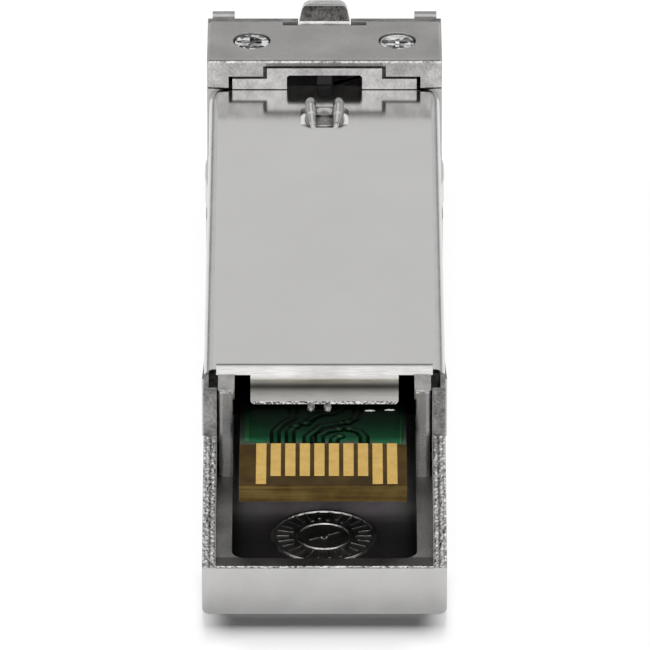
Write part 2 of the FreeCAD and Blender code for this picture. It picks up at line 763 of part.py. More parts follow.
def make_release_slider():
    """Hat-shaped slider with a blind tunnel for its spring, and a tongue that ends in the finger tab."""
    body = new_body("release_slider")
    body_end = "(stop_distance + slider_body_length)"
    tab_top = f"({TONGUE_TOP} + tab_rise)"
    tab_end = "(tab_start + tab_lean + tab_thick)"
    ear_end = "(stop_distance + slider_ear_length)"
    for name, width, end in (("body", "slider_body_width", body_end), ("head", "slider_head_width", ear_end)):
        pad_along(body, name, [centred(f"{width} / 2", SLIDER_LOW, SLIDER_TOP)], "stop_distance", end)
    ears = centred(SLIDER_EAR, SLIDER_LOW, "body_height + slider_ear_height")
    pad_along(body, "ears", [ears], "stop_distance", ear_end)
    tab = [(along(body_end), TONGUE_LOW), (along(f"{tab_end} - tab_lean"), TONGUE_LOW),
           (along(tab_end), tab_top), (along(f"{tab_end} - tab_thick"), tab_top, "-tab_dish"),
           (along("tab_start"), TONGUE_TOP), (along(body_end), TONGUE_TOP)]
    pad_across(body, "tongue", [tab], "-tongue_width / 2", "tongue_width / 2")
    flank = [("tongue_width / 2", TONGUE_TOP), ("tongue_width / 2", tab_top), ("tab_top_width / 2", tab_top)]
    cut_along(body, "tab_flanks", [flank, mirrored(flank)], "tab_start", tab_end)
    round_edges(body, "tab_corners", "tab_round",
                lambda e: runs(e, ALONG) and near(e.CenterOfMass.z, tab_top))
    side = "tunnel_width / 2"
    roof = "body_height + tunnel_height"
    tunnel = [(minus(side), SLIDER_LOW), (side, SLIDER_LOW), (side, f"{roof} - tunnel_corner"),
              (f"{side} - tunnel_corner", roof), (f"tunnel_corner - {side}", roof),
              (minus(side), f"{roof} - tunnel_corner")]
    cut_along(body, "tunnel", [tunnel], "stop_distance", TUNNEL_END)
    return body


def make_return_spring():
    """Coil between the receptacle's post and the blind end of the slider's tunnel."""
    length = f"({TUNNEL_END} - {POST_FRONT} - spring_wire)"
    spine = doc.addObject("Part::Helix", "return_spring_line")
    bind(spine, "Radius", "(spring_width - spring_wire) / 2")
    bind(spine, "Height", length)
    bind(spine, "Pitch", f"{length} / spring_turns")
    section = doc.addObject("Part::RegularPolygon", "return_spring_section")
    section.Placement = Placement(Vector(), Rotation(ACROSS, 90))
    section.Polygon = WIRE_FLAT_COUNT
    bind(section, "Circumradius", "spring_wire / 2")
    bind(section, "Placement.Base.x", "(spring_width - spring_wire) / 2")
    coil = doc.addObject("Part::Sweep", "return_spring")
    coil.Label = "return_spring"
    coil.Sections = [section]
    coil.Spine = spine
    coil.Solid = True
    coil.Frenet = True
    coil.Placement = Placement(Vector(), Rotation(ACROSS, -90))
    bind(coil, "Placement.Base.y", along(f"{POST_FRONT} + spring_wire / 2"))
    bind(coil, "Placement.Base.z", "body_height + slider_clear + spring_width / 2")
    return coil


def make_port_block():
    """Moulded receptacle: two square ports with latch slots, bores for the barrels and the spring's post."""
    body = new_body("port_block")
    low = "(nose_floor + block_clear)"
    half = f"{PORT_WIDTH} / 2"
    port_low = f"(port_axis - {half})"
    port_high = f"(port_axis + {half})"
    centres = [PORT_PLACE, minus(PORT_PLACE)]
    pad_along(body, "block", [centred(BLOCK_SIDE, low, BLOCK_TOP)], "block_start", BLOCK_FRONT)
    step_end = "(stop_distance + cover_tongue + block_clear)"
    cut_along(body, "plate_step", [centred(BLOCK_SIDE, PLATE_LOW, BLOCK_TOP)], "block_start", step_end)
    post = centred("post_width / 2", BLOCK_TOP, "body_height + post_height")
    pad_along(body, "post", [post], f"{POST_FRONT} - post_thick", POST_FRONT)
    ports = [rect(f"{x} - {half}", f"{x} + {half}", port_low, port_high) for x in centres]
    cut_along(body, "ports", ports, PORT_BACK, BLOCK_FRONT)
    slots = [rect(f"{x} - port_slot_width / 2", f"{x} + port_slot_width / 2",
                  f"{low} + port_slot_floor", port_low) for x in centres]
    cut_along(body, "latch_slots", slots, f"{BLOCK_FRONT} - port_slot_length", BLOCK_FRONT)
    bores = [(x, "port_axis", "barrel_nose_width / 2 + barrel_bore_gap") for x in centres]
    cut_along(body, "barrel_bores", bores, "block_start", PORT_BACK)
    pilots = [(x, along(SCREW_PLACE), "screw_shank_width / 2") for x in (minus(SCREW_SIDE), SCREW_SIDE)]
    cut_down(body, "screw_pilots", pilots, f"{BLOCK_TOP} - screw_bite", BLOCK_TOP)
    return body


def make_optical_assembly(side, x, has_stub):
    """Barrel with its sleeve, the sealed can behind it and the flexible circuit to the board."""
    axis = "port_axis"
    nose_end = f"({PORT_BACK} + barrel_nose_length)"
    cap_back = f"({BARREL_BACK} - can_cap_length)"
    nose = rod_along(f"{side}_nose", x, axis, "block_start", nose_end, "barrel_nose_width")
    flange = rod_along(f"{side}_flange", x, axis, "block_start - barrel_flange_length", "block_start",
                       OPTICS_WIDTH)
    shell = rod_along(f"{side}_shell", x, axis, BARREL_BACK, "block_start - barrel_flange_length",
                      "barrel_body_width")
    bore_back = f"({nose_end} - sleeve_length)"
    sleeve_back = f"({bore_back} + stub_length)" if has_stub else bore_back
    bore = rod_along(f"{side}_bore", x, axis, bore_back, nose_end, "sleeve_width")
    nodes = [cut(f"{side}_barrel", fuse(f"{side}_barrel_blank", [nose, flange, shell]), bore)]
    tube = rod_along(f"{side}_tube", x, axis, sleeve_back, nose_end, "sleeve_width")
    hollow = rod_along(f"{side}_ferrule_way", x, axis, sleeve_back, nose_end, "ferrule_bore")
    nodes.append(cut(f"{side}_sleeve", tube, hollow))
    if has_stub:
        stub = rod_along(f"{side}_stub", x, axis, bore_back, sleeve_back, "sleeve_width")
        stub.Label = f"{side}_stub"
        nodes.append(stub)
    header = rod_along(f"{side}_header", x, axis, CAN_BACK, cap_back, OPTICS_WIDTH)
    cap = rod_along(f"{side}_cap", x, axis, cap_back, BARREL_BACK, "can_cap_width")
    nodes.append(fuse(f"{side}_can", [header, cap]))
    flex = new_body(f"{side}_flex")
    behind = f"({CAN_BACK} - flex_thick)"
    fold = [(along(CAN_BACK), f"{axis} - flex_drop"), (along(CAN_BACK), f"{BOARD_TOP} + flex_thick"),
            (along("board_end - flex_overlap"), f"{BOARD_TOP} + flex_thick"),
            (along("board_end - flex_overlap"), BOARD_TOP), (along(behind), BOARD_TOP),
            (along(behind), f"{axis} - flex_drop")]
    pad_across(flex, "fold", [fold], f"{x} - flex_width / 2", f"{x} + flex_width / 2")
    nodes.append(flex)
    return nodes


def make_optics_clamp():
    """Upright plate that stands on the tray and holds both barrel flanges against the receptacle."""
    body = new_body("optics_clamp")
    front = "(block_start - barrel_flange_length)"
    notch_half = "(barrel_body_width / 2 + clamp_gap)"
    back = f"({front} - clamp_thick)"
    plate = centred(f"{LEDGE_IN} - clamp_side_gap", "floor_thick", PLATE_LOW)
    pad_along(body, "plate", [plate], back, front)
    centres = [PORT_PLACE, minus(PORT_PLACE)]
    cut_along(body, "seats", [(x, "port_axis", notch_half) for x in centres], back, front)
    ways = [rect(f"{x} - {notch_half}", f"{x} + {notch_half}", "port_axis", PLATE_LOW) for x in centres]
    cut_along(body, "ways_in", ways, back, front)
    return body


def chip_on_board(name, middle, width, start, length, height):
    """Block that stands on the board's latch side."""
    return box(name, f"{middle} - {width} / 2", f"{middle} + {width} / 2", start, f"{start} + {length}",
               BOARD_TOP, f"{BOARD_TOP} + {height}")


def make_board_parts():
    """Chips and small components on the latch side and the label side of the board."""
    reach = f"({LEDGE_IN} - chip_rail_gap)"
    driver = chip_on_board("driver_chip", f"board_shift + {reach} - driver_chip_size / 2", "driver_chip_size",
                           "driver_chip_start", "driver_chip_size", "driver_chip_thick")
    amplifier = chip_on_board("amplifier_chip", f"board_shift - {reach} + amplifier_chip_size / 2",
                              "amplifier_chip_size", "amplifier_chip_start", "amplifier_chip_size",
                              "driver_chip_thick")
    memory = box("memory_chip", "board_shift - memory_chip_width / 2", "board_shift + memory_chip_width / 2",
                 "memory_chip_start", "memory_chip_start + memory_chip_length",
                 "board_low - memory_chip_thick", "board_low")
    rows = []
    for name, count, start, height in (("capacitor", CAPACITOR_COUNT, "capacitor_start", "capacitor_height"),
                                       ("resistor", RESISTOR_COUNT, "resistor_start", "resistor_height")):
        places = [f"board_shift + {index - (count - 1) / 2} * capacitor_pitch" for index in range(count)]
        chips = [chip_on_board(f"{name}_{number_in_row}", middle, "capacitor_width", start,
                               "capacitor_length", height)
                 for number_in_row, middle in enumerate(places, start=1)]
        rows.append(group(f"chip_{name}s", chips))
    return [driver, amplifier, memory] + rows


def make_all():
    nodes = [make_main_housing(), make_bottom_cover(), make_board_carrier(), make_circuit_board()]
    nodes.append(make_contacts("latch_side_contacts", BOARD_TOP, f"{BOARD_TOP} + pad_thick", "pad_stagger"))
    nodes.append(make_contacts("label_side_contacts", "board_low - pad_thick", "board_low", "-pad_stagger"))
    nodes += [make_latch_plate(), make_nose_cap(), make_nose_screws(), make_release_slider()]
    nodes += [make_return_spring(), make_port_block(), make_optics_clamp()]
    nodes += make_optical_assembly("transmitter", PORT_PLACE, True)
    nodes += make_optical_assembly("receiver", minus(PORT_PLACE), False)
    nodes += make_board_parts()
    return nodes


def check(nodes):
    """Stop if any object of the document failed, or a node has no valid shape."""
    doc.recompute()
    for item in doc.Objects:
        if "Invalid" in item.State or "Error" in item.State:
            raise RuntimeError(f"{item.Label} failed: {item.State}")
    for node in nodes:
        if node.Shape.isNull() or not node.Shape.isValid():
            raise RuntimeError(f"{node.Label} has no valid shape")


def export(nodes):
    os.makedirs("parts", exist_ok=True)
    for node in nodes:
        node.Shape.exportStep(f"parts/{node.Label}.step")


all_nodes = make_all()
check(all_nodes)
export(all_nodes)
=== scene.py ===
"""Looks of a small pluggable optical transceiver module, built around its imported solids.

The module lies on its label side with its latch side up and its edge-connector end towards the camera.
Pieces are modelled in millimetres and become metres when they are finished. Distances along the module
count from its rear end.
"""

import math
import random

import bmesh
import bpy
from mathutils import Matrix, Vector


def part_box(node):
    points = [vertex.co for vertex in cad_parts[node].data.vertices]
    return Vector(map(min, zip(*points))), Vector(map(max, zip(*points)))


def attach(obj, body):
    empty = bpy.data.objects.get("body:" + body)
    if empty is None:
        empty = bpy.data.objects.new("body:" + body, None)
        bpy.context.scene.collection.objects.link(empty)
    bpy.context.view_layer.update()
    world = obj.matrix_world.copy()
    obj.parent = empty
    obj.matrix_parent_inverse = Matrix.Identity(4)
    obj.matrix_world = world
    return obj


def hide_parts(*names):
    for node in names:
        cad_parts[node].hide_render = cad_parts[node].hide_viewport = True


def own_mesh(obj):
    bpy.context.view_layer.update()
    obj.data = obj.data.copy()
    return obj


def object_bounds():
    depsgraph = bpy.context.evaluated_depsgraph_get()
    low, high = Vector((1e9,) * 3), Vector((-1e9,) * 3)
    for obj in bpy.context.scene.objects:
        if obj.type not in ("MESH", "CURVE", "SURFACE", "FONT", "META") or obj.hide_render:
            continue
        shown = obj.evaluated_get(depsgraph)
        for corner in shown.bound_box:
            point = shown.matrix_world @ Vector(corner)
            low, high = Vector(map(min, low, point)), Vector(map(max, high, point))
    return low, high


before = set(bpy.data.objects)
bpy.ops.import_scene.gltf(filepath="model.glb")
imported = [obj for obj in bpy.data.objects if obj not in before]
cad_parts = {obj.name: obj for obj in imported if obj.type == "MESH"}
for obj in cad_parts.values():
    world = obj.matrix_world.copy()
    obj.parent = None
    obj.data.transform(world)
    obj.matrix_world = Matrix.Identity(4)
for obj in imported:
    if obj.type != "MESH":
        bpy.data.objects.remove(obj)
cad_low, cad_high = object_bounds()

MM = 0.001
REAR_END = cad_low.y / MM

# Camera: the photograph's view, as distances in millimetres and pixels of its square frame
VIEW_ELEVATION = math.radians(27.59)
VIEW_DISTANCE = 607.0
VIEW_FOCUS_PIXELS = 10731.0
FRAME_PIXELS = 650.0
SENSOR_WIDTH = 36.0
AIM_ALONG = 24.59
AIM_HEIGHT = 5.0
AIM_SIDE = 0.028

# Meshes copied from the solids
MERGE_GAP = 0.0005
FLAT_ANGLE = math.radians(0.5)
SHARP_ANGLE = math.radians(38)
WIDE_ROUND_SEGMENTS = 4


def along(distance):
    """Y place of a distance from the rear end."""
    return REAR_END + distance


def node_box(name):
    """A node's lowest and highest corners in millimetres."""
    low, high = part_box(name)
    return low / MM, high / MM


# Materials

finishes = {}


def add(tree, kind, values=None, links=None, **options):
    """Node with its options, its sockets' values and what is linked to its sockets."""
    made = tree.nodes.new(kind)
    for key, value in options.items():
        setattr(made, key, value)
    for key, value in (values or {}).items():
        made.inputs[key].default_value = value
    for key, source in (links or {}).items():
        tree.links.new(source, made.inputs[key])
    return made


def maths(tree, operation, one, other=None, **options):
    """Result of a sum on one or two sources."""
    links = {0: one} if other is None else {0: one, 1: other}
    return add(tree, "ShaderNodeMath", links=links, operation=operation, **options).outputs[0]


def mixed_shader(tree, share, one, other):
    """One shader, replaced by a share of the other."""
    links = {"Fac": share, 1: one.outputs[0], 2: other.outputs[0]}
    return add(tree, "ShaderNodeMixShader", links=links)


def new_finish(name, values):
    """Material with its surface shader set, and the place on the piece that its patterns read."""
    material = bpy.data.materials.new(name)
    material.use_nodes = True
    finishes[name] = material
    tree = material.node_tree
    surface = tree.nodes["Principled BSDF"]
    for key, value in values.items():
        surface.inputs[key].default_value = value
    place = add(tree, "ShaderNodeTexCoord").outputs["Object"]
    return tree, surface, place


def noise_on(tree, place, size, detail=3.0, stretch=None):
    """Noise whose features are about the given size in millimetres, stretched where asked."""
    if stretch:
        place = add(tree, "ShaderNodeMapping", {"Scale": stretch}, {"Vector": place}).outputs["Vector"]
    values = {"Scale": 1 / (size * MM), "Detail": detail, "Roughness": 0.6}
    return add(tree, "ShaderNodeTexNoise", values, {"Vector": place}).outputs[0]


def ramp(tree, source, *stops):
    """Colour ramp with (place, colour) stops."""
    made = add(tree, "ShaderNodeValToRGB", links={"Fac": source})
    elements = made.color_ramp.elements
    while len(elements) < len(stops):
        elements.new(1.0)
    for element, (place, colour) in zip(elements, stops):
        element.position = place
        element.color = (*colour, 1.0)
    return made.outputs["Color"]


def spread(tree, source, low, high, start=0.3, end=0.7, **options):
    """Number that follows a pattern between two limits."""
    values = {"From Min": start, "From Max": end, "To Min": low, "To Max": high}
    return add(tree, "ShaderNodeMapRange", values, {"Value": source}, **options).outputs["Result"]


def bump(tree, surface, height, depth):
    """Relief of a depth in millimetres on a surface."""
    made = add(tree, "ShaderNodeBump", {"Strength": 1.0, "Distance": depth * MM}, {"Height": height})
    tree.links.new(made.outputs["Normal"], surface.inputs["Normal"])


def grey(level, warmth=0.0):
    return (level * (1 + warmth), level, level * (1 - warmth))


def mean(tree, one, other):
    """Half way between two patterns."""
    both = maths(tree, "ADD", one, other)
    return add(tree, "ShaderNodeMath", {1: 0.5}, {0: both}, operation="MULTIPLY").outputs[0]


def shares(*stops):
    """Grey shares of a colour at (millimetres, share) stops."""
    return tuple((stop, grey(share)) for stop, share in stops)


# Shade in a finish's own colour along its piece, by side, distance or height, set to what the photograph shows
# Flange: painted shade, a dark band in its hollow below the roll
FLANGE_PAINTED_SHADE = {"height": shares(
    (6.5, 0.82), (6.78, 0.80), (6.91, 0.70), (7.04, 0.62), (7.17, 0.44), (7.30, 0.22), (7.42, 0.11),
    (7.55, 0.27), (7.68, 0.75), (7.81, 1.0))}
# Rails: painted shade, darker towards their tops under the cover
RAIL_PAINTED_SHADE = {"height": shares((3.0, 1.0), (4.2, 1.0), (5.1, 0.85), (5.7, 0.60), (6.4, 0.42), (8.2, 0.40))}
# Ledges: painted shade, darker by the end bar and most by the rails' feet
LEDGE_PAINTED_SHADE = {"distance": shares(
    (1.3, 0.62), (4.0, 0.78), (6.0, 0.84), (7.3, 0.72), (8.1, 0.58), (8.8, 0.46), (10.3, 0.40))}
# Trough floor: painted shade towards its walls and most towards the end bar, with a faint purple tint of its own
# along its middle
TROUGH_PAINTED_SHADE = {
    "side": ((3.6, (1.0, 0.93, 1.0)), (4.43, grey(0.74)), (4.9, grey(0.48))),
    "distance": shares(
        (4.2, 0.07), (6.3, 0.09), (7.4, 0.13), (8.2, 0.20), (9.0, 0.45), (9.7, 0.9), (10.2, 1.0))}
# Skirt strips: painted bright lines as highlights along and near the outer rim, and painted dark lines of shade
# between
TEAR_PAINTED_LIGHT_AND_SHADE = {"side": shares(
    (6.0, 0.35), (6.08, 0.7), (6.17, 1.0), (6.24, 0.55), (6.30, 0.18), (6.38, 0.6), (6.46, 1.0),
    (6.53, 0.65), (6.57, 0.65), (6.62, 1.0))}
# Solder mask: painted shade, darker towards the cover
MASK_PAINTED_SHADE = {"distance": shares(
    (8.0, 1.0), (8.42, 0.72), (8.84, 0.34), (9.58, 0.20), (10.3, 0.10), (11.5, 0.06))}


def graded(tree, shade, place, grades):
    """A colour times shares of it, given as (millimetres, share) stops by side, distance or height."""
    axes = add(tree, "ShaderNodeSeparateXYZ", links={"Vector": place}).outputs
    sources = {"side": maths(tree, "ABSOLUTE", axes["X"]), "distance": axes["Y"], "height": axes["Z"]}
    for kind, stops in grades.items():
        shift = REAR_END if kind == "distance" else 0.0
        low, high = stops[0][0], stops[-1][0]
        run = spread(tree, sources[kind], 0.0, 1.0, (low + shift) * MM, (high + shift) * MM)
        share = ramp(tree, run, *[((stop - low) / (high - low), colour) for stop, colour in stops])
        colours = {"Color1": shade, "Color2": share}
        shade = add(tree, "ShaderNodeMixRGB", {"Fac": 1.0}, colours, blend_type="MULTIPLY").outputs["Color"]
    return shade


def metal(name, dark, light, rough, grain, depth, cloud=2.5, warmth=0.01, metallic=1.0, stretch=None,
          grades=None):
    """Metal with a grain in its colour, gloss and relief, slower clouds over it, and grades where asked."""
    tree, surface, place = new_finish(name, {"Metallic": metallic})
    start, end = 0.36, 0.64
    grit = noise_on(tree, place, grain, 4.0, stretch)
    half = mean(tree, grit, noise_on(tree, place, cloud, 2.0))
    colour = ramp(tree, half, (start, grey(dark, warmth)), (end, grey(light, warmth)))
    if grades:
        colour = graded(tree, colour, place, grades)
    tree.links.new(colour, surface.inputs["Base Color"])
    tree.links.new(spread(tree, half, *rough, start, end), surface.inputs["Roughness"])
    bump(tree, surface, grit, depth)


def sparkling_metal(name, dark, light, grain, depth, rough):
    """Faceted metal: coarse cells that glint or stay dark."""
    tree, surface, place = new_finish(name, {"Metallic": 1.0, "Roughness": rough})
    cells = add(tree, "ShaderNodeTexVoronoi", {"Scale": 1 / (grain * MM)}, {"Vector": place}).outputs
    colour = ramp(tree, cells["Color"], (0.25, grey(dark)), (0.6, grey(light)))
    tree.links.new(colour, surface.inputs["Base Color"])
    bump(tree, surface, mean(tree, cells["Distance"], noise_on(tree, place, grain * 1.5)), depth)


def plastic(name, colour, rough, grain, depth, lift=1.35):
    """Moulded or coated surface with a slight grain and uneven gloss."""
    tree, surface, place = new_finish(name, {"Metallic": 0.0})
    grit = noise_on(tree, place, grain)
    lighter = tuple(min(1.0, part * lift) for part in colour)
    tree.links.new(ramp(tree, grit, (0.3, colour), (0.7, lighter)), surface.inputs["Base Color"])
    tree.links.new(spread(tree, grit, *rough), surface.inputs["Roughness"])
    bump(tree, surface, grit, depth)


def gold_plate(name):
    """Thin gold over copper, with the fine brush marks of its cleaning."""
    tree, surface, place = new_finish(name, {"Metallic": 0.75})
    marks = noise_on(tree, place, 0.09, 4.0, (1.0, 0.35, 1.0))
    half = mean(tree, marks, noise_on(tree, place, 0.8, 2.0))
    colour = ramp(tree, half, (0.34, (0.78, 0.48, 0.11)), (0.66, (0.96, 0.66, 0.20)))
    tree.links.new(colour, surface.inputs["Base Color"])
    tree.links.new(spread(tree, marks, 0.32, 0.48), surface.inputs["Roughness"])
    bump(tree, surface, marks, 0.004)


def laminate(name, dark, light):
    """Bare glass-fibre laminate: layers show as fine lines along its cut edges."""
    tree, surface, place = new_finish(name, {"Roughness": 0.5, "Specular IOR Level": 0.1})
    layers = noise_on(tree, place, 0.13, 3.0, (0.02, 0.02, 1.0))
    half = mean(tree, layers, noise_on(tree, place, 1.6, 2.0))
    tree.links.new(ramp(tree, half, (0.38, dark), (0.62, light)), surface.inputs["Base Color"])
    bump(tree, surface, layers, 0.004)


def solder_mask(name, dark, light):
    """Coat that is a little uneven, and shaded towards the cover."""
    tree, surface, place = new_finish(name, {"Roughness": 0.45, "Specular IOR Level": 0.02})
    coat = ramp(tree, noise_on(tree, place, 0.7), (0.3, dark), (0.7, light))
    tree.links.new(graded(tree, coat, place, MASK_PAINTED_SHADE), surface.inputs["Base Color"])
    bump(tree, surface, noise_on(tree, place, 0.15, 2.0), 0.003)


ROLLED = (0.08, 1.0, 1.0)
STAMPED = (0.1, 1.0, 1.0)


def make_finishes():
    """Metals with their dark and light levels, gloss, grain and relief, then coats, plastics and ceramics."""
    metal("cast_zinc", 0.53, 0.62, (0.36, 0.50), 0.09, 0.008)
    metal("nose_zinc", 0.42, 0.62, (0.34, 0.48), 0.08, 0.008, warmth=0.015)
    metal("nose_face", 0.40, 0.84, (0.34, 0.48), 0.13, 0.02, cloud=1.2, warmth=0.015)
    # Rails, and the nose's face over the slider's channel: painted shade towards the top
    metal("rail_zinc", 0.66, 1.0, (0.42, 0.58), 0.12, 0.03, warmth=0.015, grades=RAIL_PAINTED_SHADE)
    metal("step_zinc", 0.18, 0.52, (0.38, 0.55), 0.10, 0.03, cloud=0.6, warmth=0.015)
    metal("cap_zinc", 0.42, 0.74, (0.38, 0.52), 0.12, 0.02, cloud=0.8, warmth=0.015)
    # Dark zinc as painted shade: inside the tray, in the grooves at the nose's edges and in the latch plate's slot
    metal("painted_shade_zinc", 0.13, 0.20, (0.34, 0.50), 0.12, 0.008, warmth=0.02)
    # Ledges: painted shade along their length
    metal("ledge_zinc", 0.46, 0.80, (0.40, 0.55), 0.12, 0.03, warmth=0.02, grades=LEDGE_PAINTED_SHADE)
    # Trough floor: painted shade towards its walls and the end bar
    metal("trough_zinc", 0.88, 1.0, (0.64, 0.78), 0.2, 0.008, warmth=0.0, grades=TROUGH_PAINTED_SHADE)
    # Dial: dark zinc as painted shade, and bright zinc as painted glints on slopes facing the rear end
    metal("painted_shade_dial_zinc", 0.12, 0.30, (0.45, 0.6), 0.12, 0.012)
    metal("painted_glint_zinc", 0.35, 1.0, (0.12, 0.25), 0.22, 0.03, cloud=0.5)
    # Bright zinc on edges and burrs: partly wear, partly painted highlight; also the solder on the outer lands
    metal("wear_and_highlight_zinc", 0.40, 0.98, (0.15, 0.35), 0.16, 0.03, cloud=0.5)
    # Broken bright line on the nose's upper rear edge: partly wear, partly painted highlight
    metal("edge_wear_and_highlight_zinc", 0.20, 0.98, (0.2, 0.35), 0.14, 0.03, cloud=0.4)
    # Torn skirt strips: painted highlight and shade lines along them
    metal("torn_zinc", 0.50, 1.0, (0.24, 0.36), 0.14, 0.01, cloud=0.3, grades=TEAR_PAINTED_LIGHT_AND_SHADE)
    metal("sheet_steel", 0.62, 0.67, (0.13, 0.16), 0.05, 0.0006, cloud=6.0)
    metal("bend_steel", 0.56, 0.66, (0.14, 0.22), 0.10, 0.006)
    metal("rolled_steel", 0.58, 0.84, (0.09, 0.16), 0.08, 0.003, stretch=ROLLED)
    # Flange below its roll: rough steel with a painted dark band of shade in its hollow
    metal("flange_steel", 0.74, 0.94, (0.40, 0.46), 0.08, 0.003, stretch=ROLLED, grades=FLANGE_PAINTED_SHADE)
    metal("slider_steel", 0.58, 0.98, (0.30, 0.42), 0.12, 0.02, cloud=0.8)
    # Finger tab's dished rear face: near-black steel as painted shade
    metal("painted_shade_tab_steel", 0.03, 0.22, (0.25, 0.45), 0.12, 0.02, cloud=0.5, warmth=0.03)
    metal("latch_steel", 0.48, 0.64, (0.26, 0.32), 0.08, 0.002)
    metal("web_steel", 0.24, 0.56, (0.25, 0.4), 0.05, 0.01, cloud=0.3, stretch=STAMPED)
    # Plate's top round the prongs: pale, half-matt metal as a painted sheen
    metal("painted_sheen_plate", 0.82, 0.95, (0.4, 0.55), 0.1, 0.002, metallic=0.3)
    metal("spring_steel", 0.50, 0.62, (0.2, 0.3), 0.06, 0.002)
    metal("barrel_steel", 0.55, 0.66, (0.2, 0.3), 0.06, 0.002)
    metal("solder", 0.08, 0.72, (0.12, 0.3), 0.14, 0.08, cloud=0.4)
    sparkling_metal("screw_steel", 0.12, 0.98, 0.34, 0.08, 0.14)
    gold_plate("contact_gold")
    gold_plate("can_gold")
    # Laminate: cut faces painted lighter, and the tongue's top painted darker, as light and shade
    laminate("laminate", (0.13, 0.077, 0.017), (0.32, 0.21, 0.06))
    laminate("painted_shade_laminate_top", (0.028, 0.0155, 0.0025), (0.066, 0.039, 0.0085))
    # Near-black mask: the clear lanes, and painted shade on the board's sides under the cover
    solder_mask("mask_dark", (0.001, 0.008, 0.004), (0.003, 0.014, 0.008))
    solder_mask("mask_green", (0.010, 0.075, 0.030), (0.018, 0.12, 0.050))
    solder_mask("mask_rim", (0.030, 0.14, 0.055), (0.045, 0.19, 0.075))
    solder_mask("mask_grey", (0.045, 0.062, 0.046), (0.065, 0.085, 0.066))
    # Filled holes: pale mask as painted glints
    solder_mask("painted_glint_mask", (0.14, 0.26, 0.09), (0.26, 0.42, 0.16))
    plastic("port_plastic", (0.040, 0.036, 0.037), (0.35, 0.5), 0.08, 0.004)
    plastic("ceramic", (0.72, 0.69, 0.63), (0.16, 0.24), 0.3, 0.0005, lift=1.1)
    plastic("flex_film", (0.28, 0.12, 0.02), (0.25, 0.35), 0.4, 0.002)
    plastic("gap_black", (0.006, 0.006, 0.006), (0.6, 0.8), 0.05, 0.004)
    plastic("chip_plastic", (0.012, 0.012, 0.013), (0.45, 0.6), 0.05, 0.003)
    plastic("capacitor_ceramic", (0.26, 0.17, 0.09), (0.4, 0.5), 0.1, 0.002)
    plastic("resistor_ceramic", (0.02, 0.02, 0.024), (0.3, 0.4), 0.1, 0.002)


# Pieces


def paint(bm, rules):
    """Give each face the last finish whose rule holds for its middle and its direction."""
    for face in bm.faces:
        middle = face.calc_center_median()
        for index, rule in enumerate(rules, start=1):
            if rule(abs(middle.x), middle.y - REAR_END, middle.z, face.normal):
                face.material_index = index


def finish_piece(bm, name, body, finish, others=(), smooth=True, rounded=0):
    """Turn a millimetre mesh into a piece that rides on a body.

    Faces that meet another finish's rule take that finish. A piece that is rounded all over is subdivided.
    """
    bmesh.ops.recalc_face_normals(bm, faces=bm.faces)
    paint(bm, [rule for _, rule in others])
    bmesh.ops.scale(bm, vec=(MM, MM, MM), verts=bm.verts)
    for face in bm.faces:
        face.smooth = smooth
    mesh = bpy.data.meshes.new(name)
    bm.to_mesh(mesh)
    bm.free()
    if mesh.has_custom_normals:
        mesh.attributes.remove(mesh.attributes["custom_normal"])
    for used in (finish, *[other for other, _ in others]):
        mesh.materials.append(finishes[used])
    piece = bpy.data.objects.new(name, mesh)
    bpy.context.scene.collection.objects.link(piece)
    if rounded:
        subdivided = piece.modifiers.new("rounded", "SUBSURF")
        subdivided.levels = rounded
        subdivided.render_levels = rounded
    else:
        weighted = piece.modifiers.new("flat_faces", "WEIGHTED_NORMAL")
        weighted.keep_sharp = True
    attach(piece, body)
    return piece


def round_over(bm, edges, width, segments):
    bmesh.ops.bevel(bm, geom=edges, offset=width, offset_type="OFFSET", affect="EDGES", segments=segments,
                    profile=0.5, material=-1, clamp_overlap=True)


def sharp_edges(bm):
    return [edge for edge in bm.edges
            if len(edge.link_faces) == 2 and edge.calc_face_angle(0.0) > SHARP_ANGLE]


def edge_place(edge):
    """Side place, distance and height of an edge's middle, and the way that it runs."""
    middle = (edge.verts[0].co + edge.verts[1].co) / 2
    run = (edge.verts[1].co - edge.verts[0].co).normalized()
    return abs(middle.x), middle.y - REAR_END, middle.z, run


def cut_across(bm, point, normal, **options):
    """Cut a mesh's faces where they cross a plane."""
    geom = bm.verts[:] + bm.edges[:] + bm.faces[:]
    bmesh.ops.bisect_plane(bm, geom=geom, dist=MERGE_GAP, plane_co=point, plane_no=normal, **options)


def split_at(bm, side=None, distance=None, level=None):
    """Cut the faces of a mesh at both side places, at a distance from the rear end or at a level."""
    if side is not None:
        for place in (-side, side):
            cut_across(bm, (place, 0.0, 0.0), (1.0, 0.0, 0.0))
    if distance is not None:
        cut_across(bm, (0.0, along(distance), 0.0), (0.0, 1.0, 0.0))
    if level is not None:
        cut_across(bm, (0.0, 0.0, level), (0.0, 0.0, 1.0))


def softened(node, name, width, finish, body="module", segments=2, cuts=(), rounds=(), others=()):
    """A node's solid in the node's place, with its sharp edges rounded, some of them by more than the rest."""
    bm = bmesh.new()
    bm.from_mesh(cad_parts[node].data)
    bmesh.ops.scale(bm, vec=(1 / MM, 1 / MM, 1 / MM), verts=bm.verts)
    bmesh.ops.remove_doubles(bm, verts=bm.verts, dist=MERGE_GAP)
    bmesh.ops.dissolve_limit(bm, angle_limit=FLAT_ANGLE, verts=bm.verts, edges=bm.edges)
    for wide, chosen in rounds:
        edges = [edge for edge in sharp_edges(bm) if chosen(*edge_place(edge))]
        round_over(bm, edges, wide, WIDE_ROUND_SEGMENTS)
    round_over(bm, sharp_edges(bm), width, segments)
    for cut in cuts:
        split_at(bm, **cut)
    piece = finish_piece(bm, name, body, finish, others)
    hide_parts(node)


